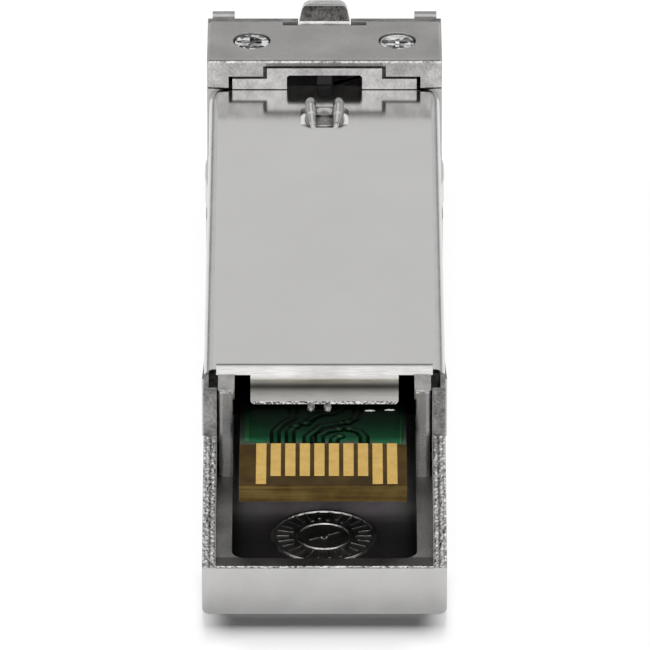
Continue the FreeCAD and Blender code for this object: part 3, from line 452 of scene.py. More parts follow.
def dress_nodes():
    """Finish of the nodes that keep their own mesh."""
    plain = {"optics_clamp": "sheet_steel", "transmitter_barrel": "barrel_steel",
             "receiver_barrel": "barrel_steel", "transmitter_sleeve": "ceramic", "receiver_sleeve": "ceramic",
             "transmitter_stub": "ceramic", "transmitter_can": "can_gold", "receiver_can": "can_gold",
             "transmitter_flex": "flex_film", "receiver_flex": "flex_film"}
    for node, finish in plain.items():
        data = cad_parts[node].data
        data.materials.clear()
        data.materials.append(finishes[finish])


# Places where pieces meet or their finish changes: side places, distances and heights
TRAY_INSIDE = 5.97
TROUGH_FLOOR = 1.15
TROUGH_SIDE = 4.6
BAR_DEPTH = 1.25
SKIRT_END = 10.4
RAIL_CAP = 7.6
FLANGE_SIDE = 4.11
FLANGE_END = 6.43
FLANGE_TOP = 8.05
FLANGE_DEPTH = 13.32
LIP_END = 8.1
BOARD_TOP = 6.25
MASK_START = 7.98
NOSE_START = 47.5
NOSE_REAR = NOSE_START + 0.1
CHANNEL_SIDE = 3.4
EDGE_WORN = 10.33
EDGE_DARK = 10.395
STRIP_START = 52.6
TAB_START = 54.1
TAB_FOOT = 9.64

# Least part of a direction along an axis, for what lies square to it down to what only leans towards it
SQUARE = 0.9
LEVEL = 0.8
HALF = 0.5
ASLANT = 0.2
SLIGHT = 0.1

# The rules below take a side place, a distance, a height, and a face's direction or the way an edge runs


def soften_tray():
    """Cast tray: painted shade inside, on ledges and in the trough; upper edges worn bright with painted
    highlights.
    """
    bar_round, skirt_start = 0.08, 0.1
    inside_low, skirt_low, bar_edge, step_low, cheek_low = 0.5, 2.0, 2.5, 5.0, 8.4
    trough_start, step_start, step_end = 1.0, 10.3, 12.0
    trough_top, skirt_inside = TROUGH_FLOOR + 0.05, TRAY_INSIDE - 0.1
    flattest, least_sideways = 0.95, 0.15

    # Painted shade on the tray's inner faces
    def inside(x, u, z, n):
        return x < TRAY_INSIDE and u > bar_round and z > inside_low

    # Ledges: zinc with painted shade by distance
    def ledges(x, u, z, n):
        return TROUGH_SIDE < x < TRAY_INSIDE and u > BAR_DEPTH and n.z > LEVEL

    # Trough floor: zinc with painted shade towards its walls and the end bar
    def trough(x, u, z, n):
        return x < TRAY_INSIDE and z < trough_top and n.z > LEVEL and u > trough_start

    def steps(x, u, z, n):
        return x > TRAY_INSIDE and step_start < u < step_end and z > step_low

    # Skirts' bevels: partly wear, partly painted highlight
    def skirt_edges(x, u, z, n):
        on_skirt = x > skirt_inside and skirt_start < u < SKIRT_END and z > skirt_low
        return on_skirt and ASLANT < n.z < flattest and abs(n.x) > least_sideways

    # End bar's top edge: partly wear, partly painted highlight
    def bar_top(x, u, z, n):
        return u < bar_round and z > bar_edge and n.z > ASLANT

    # Painted shade in the groove where the cheeks meet the cap
    def cheek_edges(x, u, z, n):
        at_nose = NOSE_START - 0.1 < u < NOSE_REAR and z > cheek_low
        return at_nose and n.y < -ASLANT and n.z > ASLANT

    softened("main_housing", "tray_casting", 0.07, "cast_zinc", cuts=({"distance": BAR_DEPTH},),
             others=(("painted_shade_zinc", inside), ("ledge_zinc", ledges), ("trough_zinc", trough),
                     ("step_zinc", steps), ("wear_and_highlight_zinc", skirt_edges), ("wear_and_highlight_zinc", bar_top),
                     ("painted_shade_zinc", cheek_edges)))


def soften_cover():
    """Folded cover: bright bends; its rear flange is rolled at the fold and rough in its hollow, with painted
    shade there.
    """
    near, lip_near = 0.01, 0.03
    lip_side, roll_side, bend_side, bend_low, flattest = 6.02, 6.05, 6.08, 7.85, 0.98
    least_lengthwise = 0.7

    def flange_corners(x, u, z, run):
        return abs(x - FLANGE_SIDE) < near and z < FLANGE_END + near and abs(run.y) > SQUARE

    def lip_corners(x, u, z, run):
        on_lip = FLANGE_SIDE - near < x < lip_side and abs(z - LIP_END) < lip_near
        return on_lip and abs(run.y) > least_lengthwise

    def bends(x, u, z, n):
        return x > bend_side and z > bend_low and n.z < flattest

    def roll(x, u, z, n):
        return u < FLANGE_DEPTH and x < roll_side and n.y < -SLIGHT

    # Flange below its roll: painted dark band of shade in its hollow
    def flange(x, u, z, n):
        return u < FLANGE_DEPTH and x < FLANGE_SIDE + 0.02 and z < FLANGE_TOP and n.y < -SLIGHT

    softened("bottom_cover", "folded_cover", 0.04, "sheet_steel", segments=3,
             rounds=((0.22, flange_corners), (0.14, lip_corners)),
             others=(("bend_steel", bends), ("rolled_steel", roll), ("flange_steel", flange)))


def soften_carrier():
    """Rails beside the board, with grainy caps whose rear edges are worn with a painted highlight."""
    cap_low, cap_end, edge_end, edge_low = RAIL_CAP - 0.1, 11.0, 10.7, 7.0

    def caps(x, u, z, n):
        return z > cap_low and u < cap_end

    # Caps' rear edges: partly wear, partly painted highlight
    def cap_edges(x, u, z, n):
        return u < edge_end and n.y < -ASLANT and abs(n.z) > ASLANT and z > edge_low

    # The rails' zinc carries painted shade towards their tops
    softened("board_carrier", "carrier_rails", 0.07, "rail_zinc",
             others=(("cap_zinc", caps), ("wear_and_highlight_zinc", cap_edges)))


def soften_nose():
    """Cast cap: grainy rear face, worn upper edge with painted highlight and shade line, dull strip at the front.
    """
    strip_inside, strip_top = 2.0, 10.35
    edge_end, line_end = NOSE_START + 0.25, NOSE_START + 0.3
    steepest = 0.99

    def front_strip(x, u, z, n):
        return u > STRIP_START and n.z > SQUARE and x > strip_inside and z < strip_top

    def cheeks(x, u, z, n):
        return n.y < -SQUARE and u < NOSE_REAR and x > CHANNEL_SIDE

    # Over the slider's channel: the rails' zinc, with painted shade
    def channel_roof(x, u, z, n):
        return n.y < -SQUARE and u < NOSE_REAR and x < CHANNEL_SIDE

    # Upper rear edge: partly wear, partly painted highlight
    def upper_edge(x, u, z, n):
        return -steepest < n.y < -HALF and n.z > SLIGHT and z < EDGE_WORN and u < edge_end

    # Painted shade: a dark line over the worn edge
    def edge_line(x, u, z, n):
        return -SQUARE < n.y < -HALF and EDGE_WORN < z < EDGE_DARK and u < line_end

    # Painted shade in the groove along the lower rear edge
    def lower_edge(x, u, z, n):
        return n.y < -ASLANT and n.z < -ASLANT and u < NOSE_REAR

    softened("nose_cap", "nose_casting", 0.05, "nose_zinc",
             cuts=({"side": CHANNEL_SIDE}, {"level": EDGE_WORN}, {"level": EDGE_DARK}),
             others=(("step_zinc", front_strip), ("nose_face", cheeks), ("rail_zinc", channel_roof),
                     ("edge_wear_and_highlight_zinc", upper_edge), ("painted_shade_zinc", edge_line), ("painted_shade_zinc", lower_edge)))


def soften_slider():
    """Slider whose finger tab is painted dark as shade towards the rear, and bright along its rounded top."""
    tab_bend, tab_top = 54.7, 10.47
    tab_lean, most_sideways = 0.4, 0.3

    def tab_edges(x, u, z, run):
        return TAB_START < u < tab_bend and z > TAB_FOOT and abs(run.y) < SQUARE

    # Painted shade on the tab's dished rear face
    def tab_back(x, u, z, n):
        return u > TAB_START and n.y < -tab_lean and z > TAB_FOOT and abs(n.x) < most_sideways

    def tab_edge(x, u, z, n):
        return u > TAB_START and n.y < -SLIGHT and z > tab_top

    softened("release_slider", "release_tongue", 0.06, "slider_steel", "slider",
             rounds=((0.16, tab_edges),), others=(("painted_shade_tab_steel", tab_back), ("latch_steel", tab_edge)))


def soften_board():
    """Board blank: bare laminate on its tongue, mask over the rest, painted shade on the tongue's top and on the
    sides.
    """

    # Painted shade: the tongue's top is darker than the laminate's cut faces, which are painted lighter
    def bare_top(x, u, z, n):
        return n.z > HALF

    # Painted shade: the board's sides and ends beyond the tongue are near black
    def masked(x, u, z, n):
        return u > MASK_START

    def masked_faces(x, u, z, n):
        return u > MASK_START and abs(n.z) > HALF

    softened("circuit_board", "board_blank", 0.02, "laminate",
             cuts=({"distance": MASK_START},),
             others=(("painted_shade_laminate_top", bare_top), ("mask_dark", masked), ("mask_grey", masked_faces)))


def soften_nodes():
    soften_tray()
    soften_cover()
    soften_carrier()
    soften_nose()
    softened("nose_screws", "nose_screw_pair", 0.06, "screw_steel")
    soften_slider()
    softened("port_block", "port_moulding", 0.08, "port_plastic")
    soften_board()
    for side in ("latch_side", "label_side"):
        softened(side + "_contacts", side + "_pads", 0.015, "contact_gold")
    for chip in ("driver_chip", "amplifier_chip", "memory_chip"):
        softened(chip, chip + "_package", 0.06, "chip_plastic")
    softened("chip_capacitors", "capacitor_row", 0.05, "capacitor_ceramic")
    softened("chip_resistors", "resistor_row", 0.04, "resistor_ceramic")


def new_points(result):
    return [item for item in result["geom"] if isinstance(item, bmesh.types.BMVert)]


def thicken(bm, faces, height):
    """Raise flat faces into plates."""
    raised = bmesh.ops.extrude_face_region(bm, geom=faces)
    bmesh.ops.translate(bm, vec=(0.0, 0.0, height), verts=new_points(raised))


def flat_area(bm, outline, level):
    """Flat face with an outline of (side place, distance) corners."""
    return bm.faces.new([bm.verts.new((x, along(u), level)) for x, u in outline])


def move_to(bm, verts, targets):
    for vert, target in zip(verts, targets):
        bmesh.ops.translate(bm, vec=target - vert.co, verts=[vert])


def grown_strip(bm, edge, ends):
    """Grow a strip from an edge to new ends, and return the new edge and faces."""
    grown = bmesh.ops.extrude_edge_only(bm, edges=[edge])["geom"]
    edge = next(item for item in grown if isinstance(item, bmesh.types.BMEdge))
    move_to(bm, edge.verts, ends)
    return edge, [item for item in grown if isinstance(item, bmesh.types.BMFace)]


def ribbon(bm, points, width, level):
    """Flat strip of one width along (side place, distance) points."""
    sharpest_turn = 0.5
    places = [Vector((x, along(u), level)) for x, u in points]
    runs = [(after - before).normalized() for before, after in zip(places, places[1:])]
    faces = []
    edge = None
    for index, place in enumerate(places):
        before = runs[max(index - 1, 0)]
        after = runs[min(index, len(runs) - 1)]
        heading = (before + after).normalized()
        reach = width / 2 / max(heading.dot(after), sharpest_turn)
        side = Vector((-heading.y, heading.x, 0.0)) * reach
        ends = (place + side, place - side)
        if edge is None:
            edge = bm.edges.new([bm.verts.new(end) for end in ends])
            continue
        edge, grown = grown_strip(bm, edge, ends)
        faces += grown
    return faces


def grown_edges(verts):
    return list({edge for vert in verts for edge in vert.link_edges})


PLATE_LOW = 7.97
PLATE_TOP = 8.22
PLATE_BRIGHT = 43.55
WEB_SIDE = 0.55
WEB_UPPER = 8.3
# Distance and height of the web's corners, with a slot across it
SLOT = (44.08, 44.22)
WEB = ((43.0, PLATE_TOP), (43.0, 8.42), (SLOT[0], 8.42), (SLOT[0], 8.24), (SLOT[1], 8.24), (SLOT[1], 8.5),
       (45.22, 8.5), (45.22, PLATE_TOP))
# Distance, top and outer side of each section of a prong
PRONG = ((42.6, 8.46, 0.80), (42.95, 8.66, 0.92), (43.6, 9.04, 1.08), (44.25, 9.40, 1.17), (44.7, 9.43, 1.17),
         (45.1, 9.34, 1.17))
PRONG_IN = 0.45
PRONG_LOW = 8.1


def build_latch_plate():
    """Stamped plate with the slotted web of its boss, a painted sheen round the prongs and painted shade in the
    slot.
    """
    low, high = node_box("latch_plate")
    skin, slot_top, step_top, step_round = 0.01, 8.49, 8.38, 0.035

    def bright_end(x, u, z, n):
        return u < PLATE_BRIGHT and z > PLATE_LOW + 0.1

    def web(x, u, z, n):
        return z > PLATE_TOP + skin and x < WEB_SIDE + skin

    def web_front(x, u, z, n):
        return z > PLATE_TOP + skin and u > SLOT[1] + 0.03

    # Painted shade in the web's slot
    def slot(x, u, z, n):
        in_slot = SLOT[0] - skin < u < SLOT[1] + skin
        return PLATE_TOP + skin < z < slot_top and in_slot and x < WEB_SIDE

    # Web's rear upper edge: partly wear, partly painted highlight
    def step_edge(x, u, z, n):
        return z > step_top and u < WEB[0][0] + step_round

    bm = bmesh.new()
    middle = Matrix.Translation((0.0, (low.y + high.y) / 2, (PLATE_LOW + PLATE_TOP) / 2))
    size = Matrix.Diagonal((high.x - low.x, high.y - low.y, PLATE_TOP - PLATE_LOW, 1.0))
    made = bmesh.ops.create_cube(bm, size=1.0, matrix=middle @ size)
    round_over(bm, grown_edges(made["verts"]), 0.05, 2)
    split_at(bm, distance=PLATE_BRIGHT)
    corners = [bm.verts.new((-WEB_SIDE, along(u), z)) for u, z in WEB]
    side = bm.faces.new(corners)
    grown = new_points(bmesh.ops.extrude_face_region(bm, geom=[side]))
    bmesh.ops.translate(bm, vec=(2 * WEB_SIDE, 0.0, 0.0), verts=grown)
    upper = []
    for edge in grown_edges(corners + grown):
        side_place, _, height, _ = edge_place(edge)
        if height > WEB_UPPER and side_place < 0.1:
            upper.append(edge)
    round_over(bm, upper, 0.03, 2)
    # The plate takes the painted sheen, except on its rear part
    piece = finish_piece(bm, "latch_stamping", "module", "painted_sheen_plate",
                         (("sheet_steel", bright_end), ("web_steel", web), ("sheet_steel", web_front),
                          ("painted_shade_zinc", slot), ("wear_and_highlight_zinc", step_edge)))
    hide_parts("latch_plate")


def build_latch_prongs():
    """Two rounded prongs beside the web."""
    bm = bmesh.new()
    for side in (-1, 1):
        end = None
        for u, top, out in PRONG:
            section = ((PRONG_IN, PRONG_LOW), (out, PRONG_LOW), (out, top), (PRONG_IN, top))
            corners = [Vector((side * x, along(u), z)) for x, z in section]
            if end is None:
                end = bm.faces.new([bm.verts.new(corner) for corner in corners])
                continue
            grown = bmesh.ops.extrude_face_region(bm, geom=[end])
            end = next(item for item in grown["geom"] if isinstance(item, bmesh.types.BMFace))
            move_to(bm, end.verts, corners)
    finish_piece(bm, "latch_prongs", "module", "latch_steel", rounded=3)


# Side place, height and half width of the dark line's sections
SEAM = ((5.88, 8.575, 0.075), (6.2, 8.60, 0.06), (6.5, 8.615, 0.04), (6.80, 8.625, 0.045))
SEAM_PROUD = 0.004
SEAM_DEPTH = 0.008


def build_nose_seam():
    """Dark line where the cap lies on the cheeks, wider towards the slider's channel."""
    bm = bmesh.new()
    place = along(NOSE_START) - SEAM_PROUD
    for side in (-1, 1):
        edge = None
        for reach, level, half in SEAM:
            ends = [Vector((side * reach, place, level + rise)) for rise in (-half, half)]
            if edge is None:
                edge = bm.edges.new([bm.verts.new(end) for end in ends])
                continue
            edge, _ = grown_strip(bm, edge, ends)
    raised = bmesh.ops.extrude_face_region(bm, geom=bm.faces[:])
    bmesh.ops.translate(bm, vec=(0.0, SEAM_DEPTH, 0.0), verts=new_points(raised))
    finish_piece(bm, "nose_seam", "module", "gap_black")


# Side place and distance of each track's points, of each hole, and of the pour's corners
TRACKS = (
    ((-2.715, 8.06), (-2.72, 9.5), (-2.30, 10.35), (-1.75, 11.0), (-1.76, 12.6)),
    ((-1.89, 8.06), (-1.90, 9.5), (-1.61, 10.08)),
    ((-0.92, 8.06), (-0.92, 8.88), (-0.19, 10.04), (0.91, 10.43)),
    ((-0.28, 8.06), (-0.28, 9.0), (0.17, 9.5), (0.77, 9.71)),
    ((0.51, 8.06), (0.56, 8.6), (0.82, 8.88)),
    ((2.185, 8.06), (2.19, 8.88), (1.87, 9.5), (1.37, 9.75)),
    ((-1.05, 10.4), (-0.62, 11.1), (-0.2, 11.5), (0.6, 11.6), (1.3, 12.6)),
    ((1.28, 10.55), (1.75, 11.0), (1.9, 12.6)),
)
HOLES = ((-1.61, 10.08), (0.91, 10.43), (0.77, 9.71), (0.82, 8.88), (1.37, 9.75), (-1.05, 10.4), (1.28, 10.55))
POUR = ((-4.40, 8.34), (-3.86, 8.34), (-3.86, 8.06), (-3.29, 8.06), (-3.29, 8.34), (2.92, 8.34), (2.92, 8.06),
        (3.49, 8.06), (3.49, 8.34), (3.72, 8.34), (3.72, 8.06), (4.29, 8.06), (4.29, 8.34), (4.34, 8.34),
        (4.34, 13.4), (-4.40, 13.4))
POUR_RIM = 4.17
POUR_HEIGHT = 0.010


def coat_layer(name, finish, hole_radii, hole_height, hole_segments, width=None, height=None):
    """Layer of the board's coat: tracks of one width where it has them, and a low cone at each hole."""
    bm = bmesh.new()
    if width:
        faces = []
        for points in TRACKS:
            faces += ribbon(bm, points, width, BOARD_TOP)
        thicken(bm, faces, height)
    for x, u in HOLES:
        turned = Matrix.Translation((x, along(u), BOARD_TOP + hole_height / 2))
        bmesh.ops.create_cone(bm, cap_ends=True, segments=hole_segments, radius1=hole_radii[0],
                              radius2=hole_radii[1], depth=hole_height, matrix=turned)
    finish_piece(bm, name, "module", finish)


def build_board_coat():
    """Copper under the mask: a wide pour, clear lanes through it, tracks from the contacts and filled holes."""

    def rim(x, u, z, n):
        return x > POUR_RIM

    bm = bmesh.new()
    thicken(bm, [flat_area(bm, POUR, BOARD_TOP)], POUR_HEIGHT)
    split_at(bm, side=POUR_RIM)
    finish_piece(bm, "masked_pour", "module", "mask_green", (("mask_rim", rim),))
    coat_layer("clear_lanes", "mask_dark", (0.36, 0.36), 0.018, 18, width=0.62, height=0.014)
    coat_layer("masked_tracks", "mask_green", (0.24, 0.2), 0.032, 18, width=0.22, height=0.024)
    # Filled holes in pale mask: painted glints
    coat_layer("filled_holes", "painted_glint_mask", (0.1, 0.07), 0.04, 14)


# Side place, distance, and reach across, along and up of each lump of solder
SOLDER_LUMPS = ((-0.745, 12.2, 0.25, 0.45, 0.34), (0.175, 12.2, 0.25, 0.45, 0.34),
                (2.52, 11.90, 0.31, 0.07, 0.07), (3.62, 11.98, 0.31, 0.07, 0.07))
SOLDER_ROUGH = 0.12
BARE_LANDS = 2.0


def build_solder_joints():
    """Solder on the lands near the cover's flange."""

    def lands(x, u, z, n):
        return x > BARE_LANDS

    bm = bmesh.new()
    chance = random.Random(7)
    for x, u, across, reach, height in SOLDER_LUMPS:
        shape = Matrix.Translation((x, along(u), BOARD_TOP)) @ Matrix.Diagonal((across, reach, height, 1.0))
        lump = bmesh.ops.create_uvsphere(bm, u_segments=20, v_segments=12, radius=1.0, matrix=shape)
        for vert in lump["verts"]:
            rise = chance.uniform(-SOLDER_ROUGH, SOLDER_ROUGH) * height
            bmesh.ops.translate(bm, vec=(0.0, 0.0, rise), verts=[vert])
    cut_across(bm, (0.0, 0.0, BOARD_TOP), (0.0, 0.0, 1.0), clear_inner=True)
    bmesh.ops.holes_fill(bm, edges=[edge for edge in bm.edges if edge.is_boundary])
    finish_piece(bm, "solder_joints", "module", "solder", (("wear_and_highlight_zinc", lands),))


DIAL_SIDE = -0.03
DIAL_ALONG = 6.7
DIAL_RADIUS = 2.85
DIAL_HEIGHT = 0.12
DIAL_ROUND = 0.045
TICKS = 26
TICK_OUTSIDE = 2.62
TICK_WIDTH = 0.17
TICK_REACHES = (0.9, 0.7)
# Length and turn of the pointer's two bars
POINTER = ((1.9, 0.5), (0.8, 0.5 + math.radians(64)))
POINTER_WIDTH = 0.2


def dial_middle(rise):
    return Vector((DIAL_SIDE, along(DIAL_ALONG), TROUGH_FLOOR + rise))


def ring(bm, radius, width, height):
    """Low round rib with sloping sides on the trough's floor, about the dial's middle."""
    profile = [(radius - width / 2, 0.0), (radius + width / 2, 0.0), (radius + width / 4, height),
               (radius - width / 4, height)]
    middle = dial_middle(0.0)
    verts = [bm.verts.new(middle + Vector((reach, 0.0, level))) for reach, level in profile]
    face = bm.faces.new(verts)
    geom = verts + face.edges[:] + [face]
    bmesh.ops.spin(bm, geom=geom, cent=middle, axis=(0.0, 0.0, 1.0), angle=math.tau, steps=72, use_merge=True)


def build_dial():
    """Mould-date dial on the trough's floor: two rings, a row of ticks between them and a pointer."""

    # Painted glints on the slopes that face the rear end and up
    def painted_glints(x, u, z, n):
        return n.y < -ASLANT and n.z > ASLANT

    bm = bmesh.new()
    ring(bm, DIAL_RADIUS, 0.26, 0.13)
    ring(bm, 1.45, 0.22, 0.11)
    middle = Matrix.Translation(dial_middle(DIAL_HEIGHT / 2))
    for index in range(TICKS):
        turn = Matrix.Rotation(math.tau * index / TICKS, 4, "Z")
        reach = TICK_REACHES[index % 2]
        size = Matrix.Diagonal((reach, TICK_WIDTH, DIAL_HEIGHT, 1.0))
        shape = Matrix.Translation((TICK_OUTSIDE - reach / 2, 0.0, 0.0)) @ size
        bmesh.ops.create_cube(bm, size=1.0, matrix=middle @ turn @ shape)
    for reach, turned in POINTER:
        size = Matrix.Diagonal((reach, POINTER_WIDTH, DIAL_HEIGHT, 1.0))
        bmesh.ops.create_cube(bm, size=1.0, matrix=middle @ Matrix.Rotation(turned, 4, "Z") @ size)
    bmesh.ops.create_cone(bm, cap_ends=True, segments=24, radius1=0.3, radius2=0.24, depth=0.13, matrix=middle)
    # Flat disc of the insert, painted dark as shade like the rest of the dial
    field = Matrix.Translation(dial_middle(0.01))
    bmesh.ops.create_cone(bm, cap_ends=True, segments=72, radius1=DIAL_RADIUS, radius2=DIAL_RADIUS, depth=0.04,
                          matrix=field)
    round_over(bm, sharp_edges(bm), DIAL_ROUND, 2)
    finish_piece(bm, "mould_dial", "module", "painted_shade_dial_zinc", (("painted_glint_zinc", painted_glints),), smooth=False)


def torn_strip(name, corner, across, run, counts, lift, finish):
    """Closed strip over a slope whose upper side is torn into small peaks."""
    stray_share = 0.3
    chance = random.Random(name)
    bm = bmesh.new()
    bmesh.ops.create_grid(bm, x_segments=counts[0], y_segments=counts[1], size=0.5)
    across, run, corner = Vector(across), Vector(run), Vector(corner)
    upward = across.cross(run).normalized()
    rise = upward if upward.z > 0 else -upward
    lay = Matrix((across, run, rise)).transposed().to_4x4()
    lay.translation = corner + (across + run) / 2
    bmesh.ops.transform(bm, matrix=lay, verts=bm.verts)
    raised = new_points(bmesh.ops.extrude_face_region(bm, geom=bm.faces[:]))
    inner = [vert for vert in raised if all(face.normal.dot(rise) > HALF for face in vert.link_faces)]
    stray = (across / counts[0] + run / counts[1]) * stray_share
    for vert in raised:
        bmesh.ops.translate(bm, vec=rise * chance.uniform(*lift), verts=[vert])
    for vert in inner:
        bmesh.ops.translate(bm, vec=stray * chance.uniform(-1.0, 1.0), verts=[vert])
    bmesh.ops.triangulate(bm, faces=bm.faces)
    finish_piece(bm, name, "module", finish, smooth=False)


TEAR_START = 0.07
SKIRT_FOOT = 2.85
SKIRT_WIDTH = (0.68, 0.0, 0.0)
SKIRT_SLOPE = (0.0, 10.36, 2.565)
CAP_REAR = 10.502
CAP_EDGE = 8.09
FLANGE_REAR = 12.375
FLANGE_EDGE = 6.45


def build_torn_edges():
    """Rough broken metal on the skirts' slopes and on the edges of the end bar, the rails' caps and the flange."""
    # Skirt strips take zinc with painted highlight and shade lines
    for name, start in (("left_skirt_tear", -6.68), ("right_skirt_tear", 6.0)):
        torn_strip(name, (start, along(TEAR_START), SKIRT_FOOT), SKIRT_WIDTH, SKIRT_SLOPE, (7, 84), (0.0, 0.10),
                   "torn_zinc")
    # Burrs on the bar, the caps and the flange: partly wear, partly painted highlight
    torn_strip("bar_edge_tear", (-6.6, along(TEAR_START), 2.79), (13.2, 0.0, 0.0), (0.0, 0.09, 0.10), (110, 2),
               (0.0, 0.09), "wear_and_highlight_zinc")
    for name, start in (("left_cap_burr", -5.78), ("right_cap_burr", 5.08)):
        torn_strip(name, (start, along(CAP_REAR), CAP_EDGE), (0.7, 0.0, 0.0), (0.0, 0.12, 0.12), (14, 3),
                   (0.0, 0.06), "wear_and_highlight_zinc")
    torn_strip("flange_burr", (-3.95, along(FLANGE_REAR), FLANGE_EDGE), (7.9, 0.0, 0.0), (0.0, 0.04, 0.14),
               (90, 2), (0.0, 0.05), "wear_and_highlight_zinc")


SPRING_WIRE = 0.14
SPRING_TURNS = 6
SPRING_STEPS = SPRING_TURNS * 24


def build_spring():
    """Round-wire coil between the receptacle's post and the slider's tunnel end."""
    low, high = node_box("return_spring")
    half_wire = SPRING_WIRE / 2
    axis_place = Vector((0.0, low.y + half_wire, (low.z + high.z) / 2))
    start = Matrix.Translation(axis_place + Vector((high.x - half_wire, 0.0, 0.0)))
    pitch = (high.y - low.y - SPRING_WIRE) / SPRING_STEPS
    bm = bmesh.new()
    bmesh.ops.create_circle(bm, cap_ends=True, segments=10, radius=half_wire, matrix=start)
    bmesh.ops.spin(bm, geom=bm.verts[:] + bm.edges[:] + bm.faces[:], cent=axis_place, axis=(0.0, 1.0, 0.0),
                   dvec=(0.0, pitch, 0.0), angle=math.tau * SPRING_TURNS, steps=SPRING_STEPS)
    piece = finish_piece(bm, "return_coil", "module", "spring_steel")
    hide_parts("return_spring")
    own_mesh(piece)


# Stage

WHITE = (1.0, 1.0, 1.0, 1.0)
PAPER = (0.94, 0.94, 0.94, 1.0)
FLOOR_HALF_SIZE = 4.0
FLOOR_DROP = 0.02

# Where the floor shows as plain white: millimetres, and the share of white at the far end of each fade
MIRRORED_REACH = (40.0, 80.0)
MIRRORED_NEAR = 0.5
PAST_SIDES = (4.6, 7.8)
PAST_SIDES_SHARE = 0.85
BESIDE = (-0.5, 5.0)
BESIDE_SHARE = 0.95
FRONT_FADE = (-14.0, -8.0)
BACK_FADE = (52.0, 60.0)


def build_floor():
    """Pale floor. The camera sees the module's shadow in front and nearly plain white beside it.

    Polished metal mirrors it as half white close by and as plain white further off.
    """
    material = bpy.data.materials.new("pale_floor")
    material.use_nodes = True
    material.cycles.emission_sampling = "NONE"
    tree = material.node_tree
    tree.nodes.remove(tree.nodes["Principled BSDF"])
    path = add(tree, "ShaderNodeLightPath").outputs
    place = add(tree, "ShaderNodeTexCoord").outputs["Object"]
    axes = add(tree, "ShaderNodeSeparateXYZ", links={"Vector": place}).outputs

    def fade(low, high, limits):
        return spread(tree, axes["Y"], low, high, *[along(limit) * MM for limit in limits])

    polished = maths(tree, "MAXIMUM", path["Is Glossy Ray"], path["Is Transmission Ray"])
    reach = add(tree, "ShaderNodeVectorMath", links={0: place}, operation="LENGTH").outputs["Value"]
    away = spread(tree, reach, MIRRORED_NEAR, 1.0, *[limit * MM for limit in MIRRORED_REACH])
    mirrored = maths(tree, "MULTIPLY", polished, away)
    mirrored = maths(tree, "SUBTRACT", mirrored, path["Diffuse Depth"], use_clamp=True)

    past_sides = spread(tree, maths(tree, "ABSOLUTE", axes["X"]), 0.0, PAST_SIDES_SHARE,
                        *[limit * MM for limit in PAST_SIDES], interpolation_type="SMOOTHERSTEP")
    clear = maths(tree, "MAXIMUM", past_sides, fade(0.0, BESIDE_SHARE, BESIDE))
    near = maths(tree, "MULTIPLY", fade(1.0, 0.0, BACK_FADE), fade(0.0, 1.0, FRONT_FADE))
    direct = maths(tree, "MULTIPLY", path["Is Camera Ray"], maths(tree, "MULTIPLY", clear, near))

    paper = add(tree, "ShaderNodeBsdfDiffuse", {"Color": PAPER})
    white = add(tree, "ShaderNodeEmission", {"Color": WHITE, "Strength": 1.0})
    mixed = mixed_shader(tree, maths(tree, "MAXIMUM", mirrored, direct), paper, white)
    tree.links.new(mixed.outputs[0], tree.nodes["Material Output"].inputs["Surface"])

    bm = bmesh.new()
    bmesh.ops.create_grid(bm, x_segments=1, y_segments=1, size=FLOOR_HALF_SIZE)
    bmesh.ops.translate(bm, vec=(0.0, 0.0, -FLOOR_DROP * MM), verts=bm.verts)
    mesh = bpy.data.meshes.new("floor")
    bm.to_mesh(mesh)
    bm.free()
    mesh.materials.append(material)
    floor = bpy.data.objects.new("floor", mesh)
    bpy.context.scene.collection.objects.link(floor)


# Brightness of the studio by height, from level to straight up, behind the module and before it
STUDIO_BEHIND = ((0.0, 0.20), (0.12, 0.28), (0.27, 0.74), (0.40, 0.80), (0.50, 0.80), (0.60, 0.25), (0.72, 0.18),
                 (0.87, 0.5), (0.97, 1.0))
STUDIO_BEFORE = ((0.0, 0.85), (0.3, 1.05))
STUDIO_TURN = (-0.2, 0.2)
SCATTERED_LEVEL = 0.12


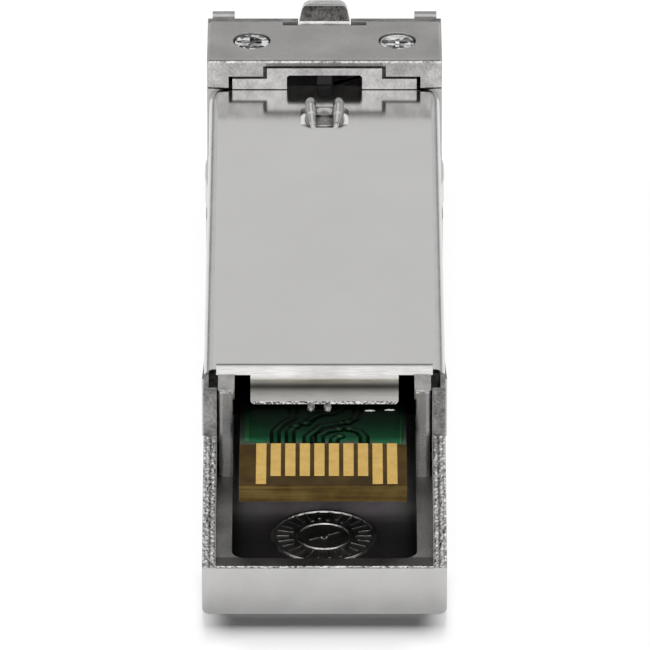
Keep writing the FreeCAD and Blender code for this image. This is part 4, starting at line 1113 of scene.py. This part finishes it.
def build_world():
    """Studio round the module: a lit panel low behind it, a dark gap above that, and pale everywhere else.

    Polished metal mirrors it. The camera sees plain white instead, and light that the floor and the board
    scatter comes from a dim grey.
    """
    world = bpy.data.worlds.new("studio")
    bpy.context.scene.world = world
    world.use_nodes = True
    world.cycles.sampling_method = "NONE"
    tree = world.node_tree
    direction = add(tree, "ShaderNodeTexCoord").outputs["Generated"]
    axes = add(tree, "ShaderNodeSeparateXYZ", links={"Vector": direction}).outputs
    behind = ramp(tree, axes["Z"], *shares(*STUDIO_BEHIND))
    before = ramp(tree, axes["Z"], *shares(*STUDIO_BEFORE))
    turn = spread(tree, axes["Y"], 0.0, 1.0, *STUDIO_TURN, interpolation_type="SMOOTHSTEP")
    room = add(tree, "ShaderNodeMixRGB", links={"Fac": turn, "Color1": before, "Color2": behind})
    shown = tree.nodes["Background"]
    shown.inputs["Strength"].default_value = 1.0
    tree.links.new(room.outputs["Color"], shown.inputs["Color"])
    soft = add(tree, "ShaderNodeBackground", {"Color": (*grey(SCATTERED_LEVEL), 1.0), "Strength": 1.0})
    white = add(tree, "ShaderNodeBackground", {"Color": WHITE, "Strength": 1.0})
    path = add(tree, "ShaderNodeLightPath").outputs
    scattered = add(tree, "ShaderNodeMath", {1: 1.0}, {0: path["Diffuse Depth"]}, operation="MINIMUM")
    lit = mixed_shader(tree, scattered.outputs[0], shown, soft)
    mixed = mixed_shader(tree, path["Is Camera Ray"], lit, white)
    tree.links.new(mixed.outputs[0], tree.nodes["World Output"].inputs["Surface"])


KEY_PLACE = Vector((0.0, 1.2, 1.6))
KEY_SIZE = (0.4, 1.04)
KEY_POWER = 51.5


def build_light():
    """One soft key from behind and above, which throws the shadow towards the camera."""
    data = bpy.data.lights.new("back_key", "AREA")
    data.shape = "RECTANGLE"
    data.size, data.size_y = KEY_SIZE
    data.energy = KEY_POWER
    lamp = bpy.data.objects.new("back_key", data)
    bpy.context.scene.collection.objects.link(lamp)
    lamp.location = KEY_PLACE
    lamp.rotation_mode = "QUATERNION"
    lamp.rotation_quaternion = (-KEY_PLACE).to_track_quat("-Z", "Y")
    lamp.visible_glossy = False


def build_camera():
    data = bpy.data.cameras.new("camera")
    data.sensor_width = SENSOR_WIDTH
    data.lens = VIEW_FOCUS_PIXELS * SENSOR_WIDTH / FRAME_PIXELS
    data.clip_start = 0.01
    data.clip_end = 20.0
    camera = bpy.data.objects.new("camera", data)
    bpy.context.scene.collection.objects.link(camera)
    aim = Vector((AIM_SIDE, along(AIM_ALONG), AIM_HEIGHT)) * MM
    back = Vector((0.0, -math.cos(VIEW_ELEVATION), math.sin(VIEW_ELEVATION)))
    camera.location = aim + back * VIEW_DISTANCE * MM
    camera.rotation_mode = "QUATERNION"
    camera.rotation_quaternion = (-back).to_track_quat("-Z", "Y")
    bpy.context.scene.camera = camera


make_finishes()
dress_nodes()
soften_nodes()
build_board_coat()
build_solder_joints()
build_dial()
build_torn_edges()
build_latch_plate()
build_latch_prongs()
build_nose_seam()
build_spring()
build_floor()
build_world()
build_light()
build_camera()
bpy.context.scene.view_settings.view_transform = "Standard"
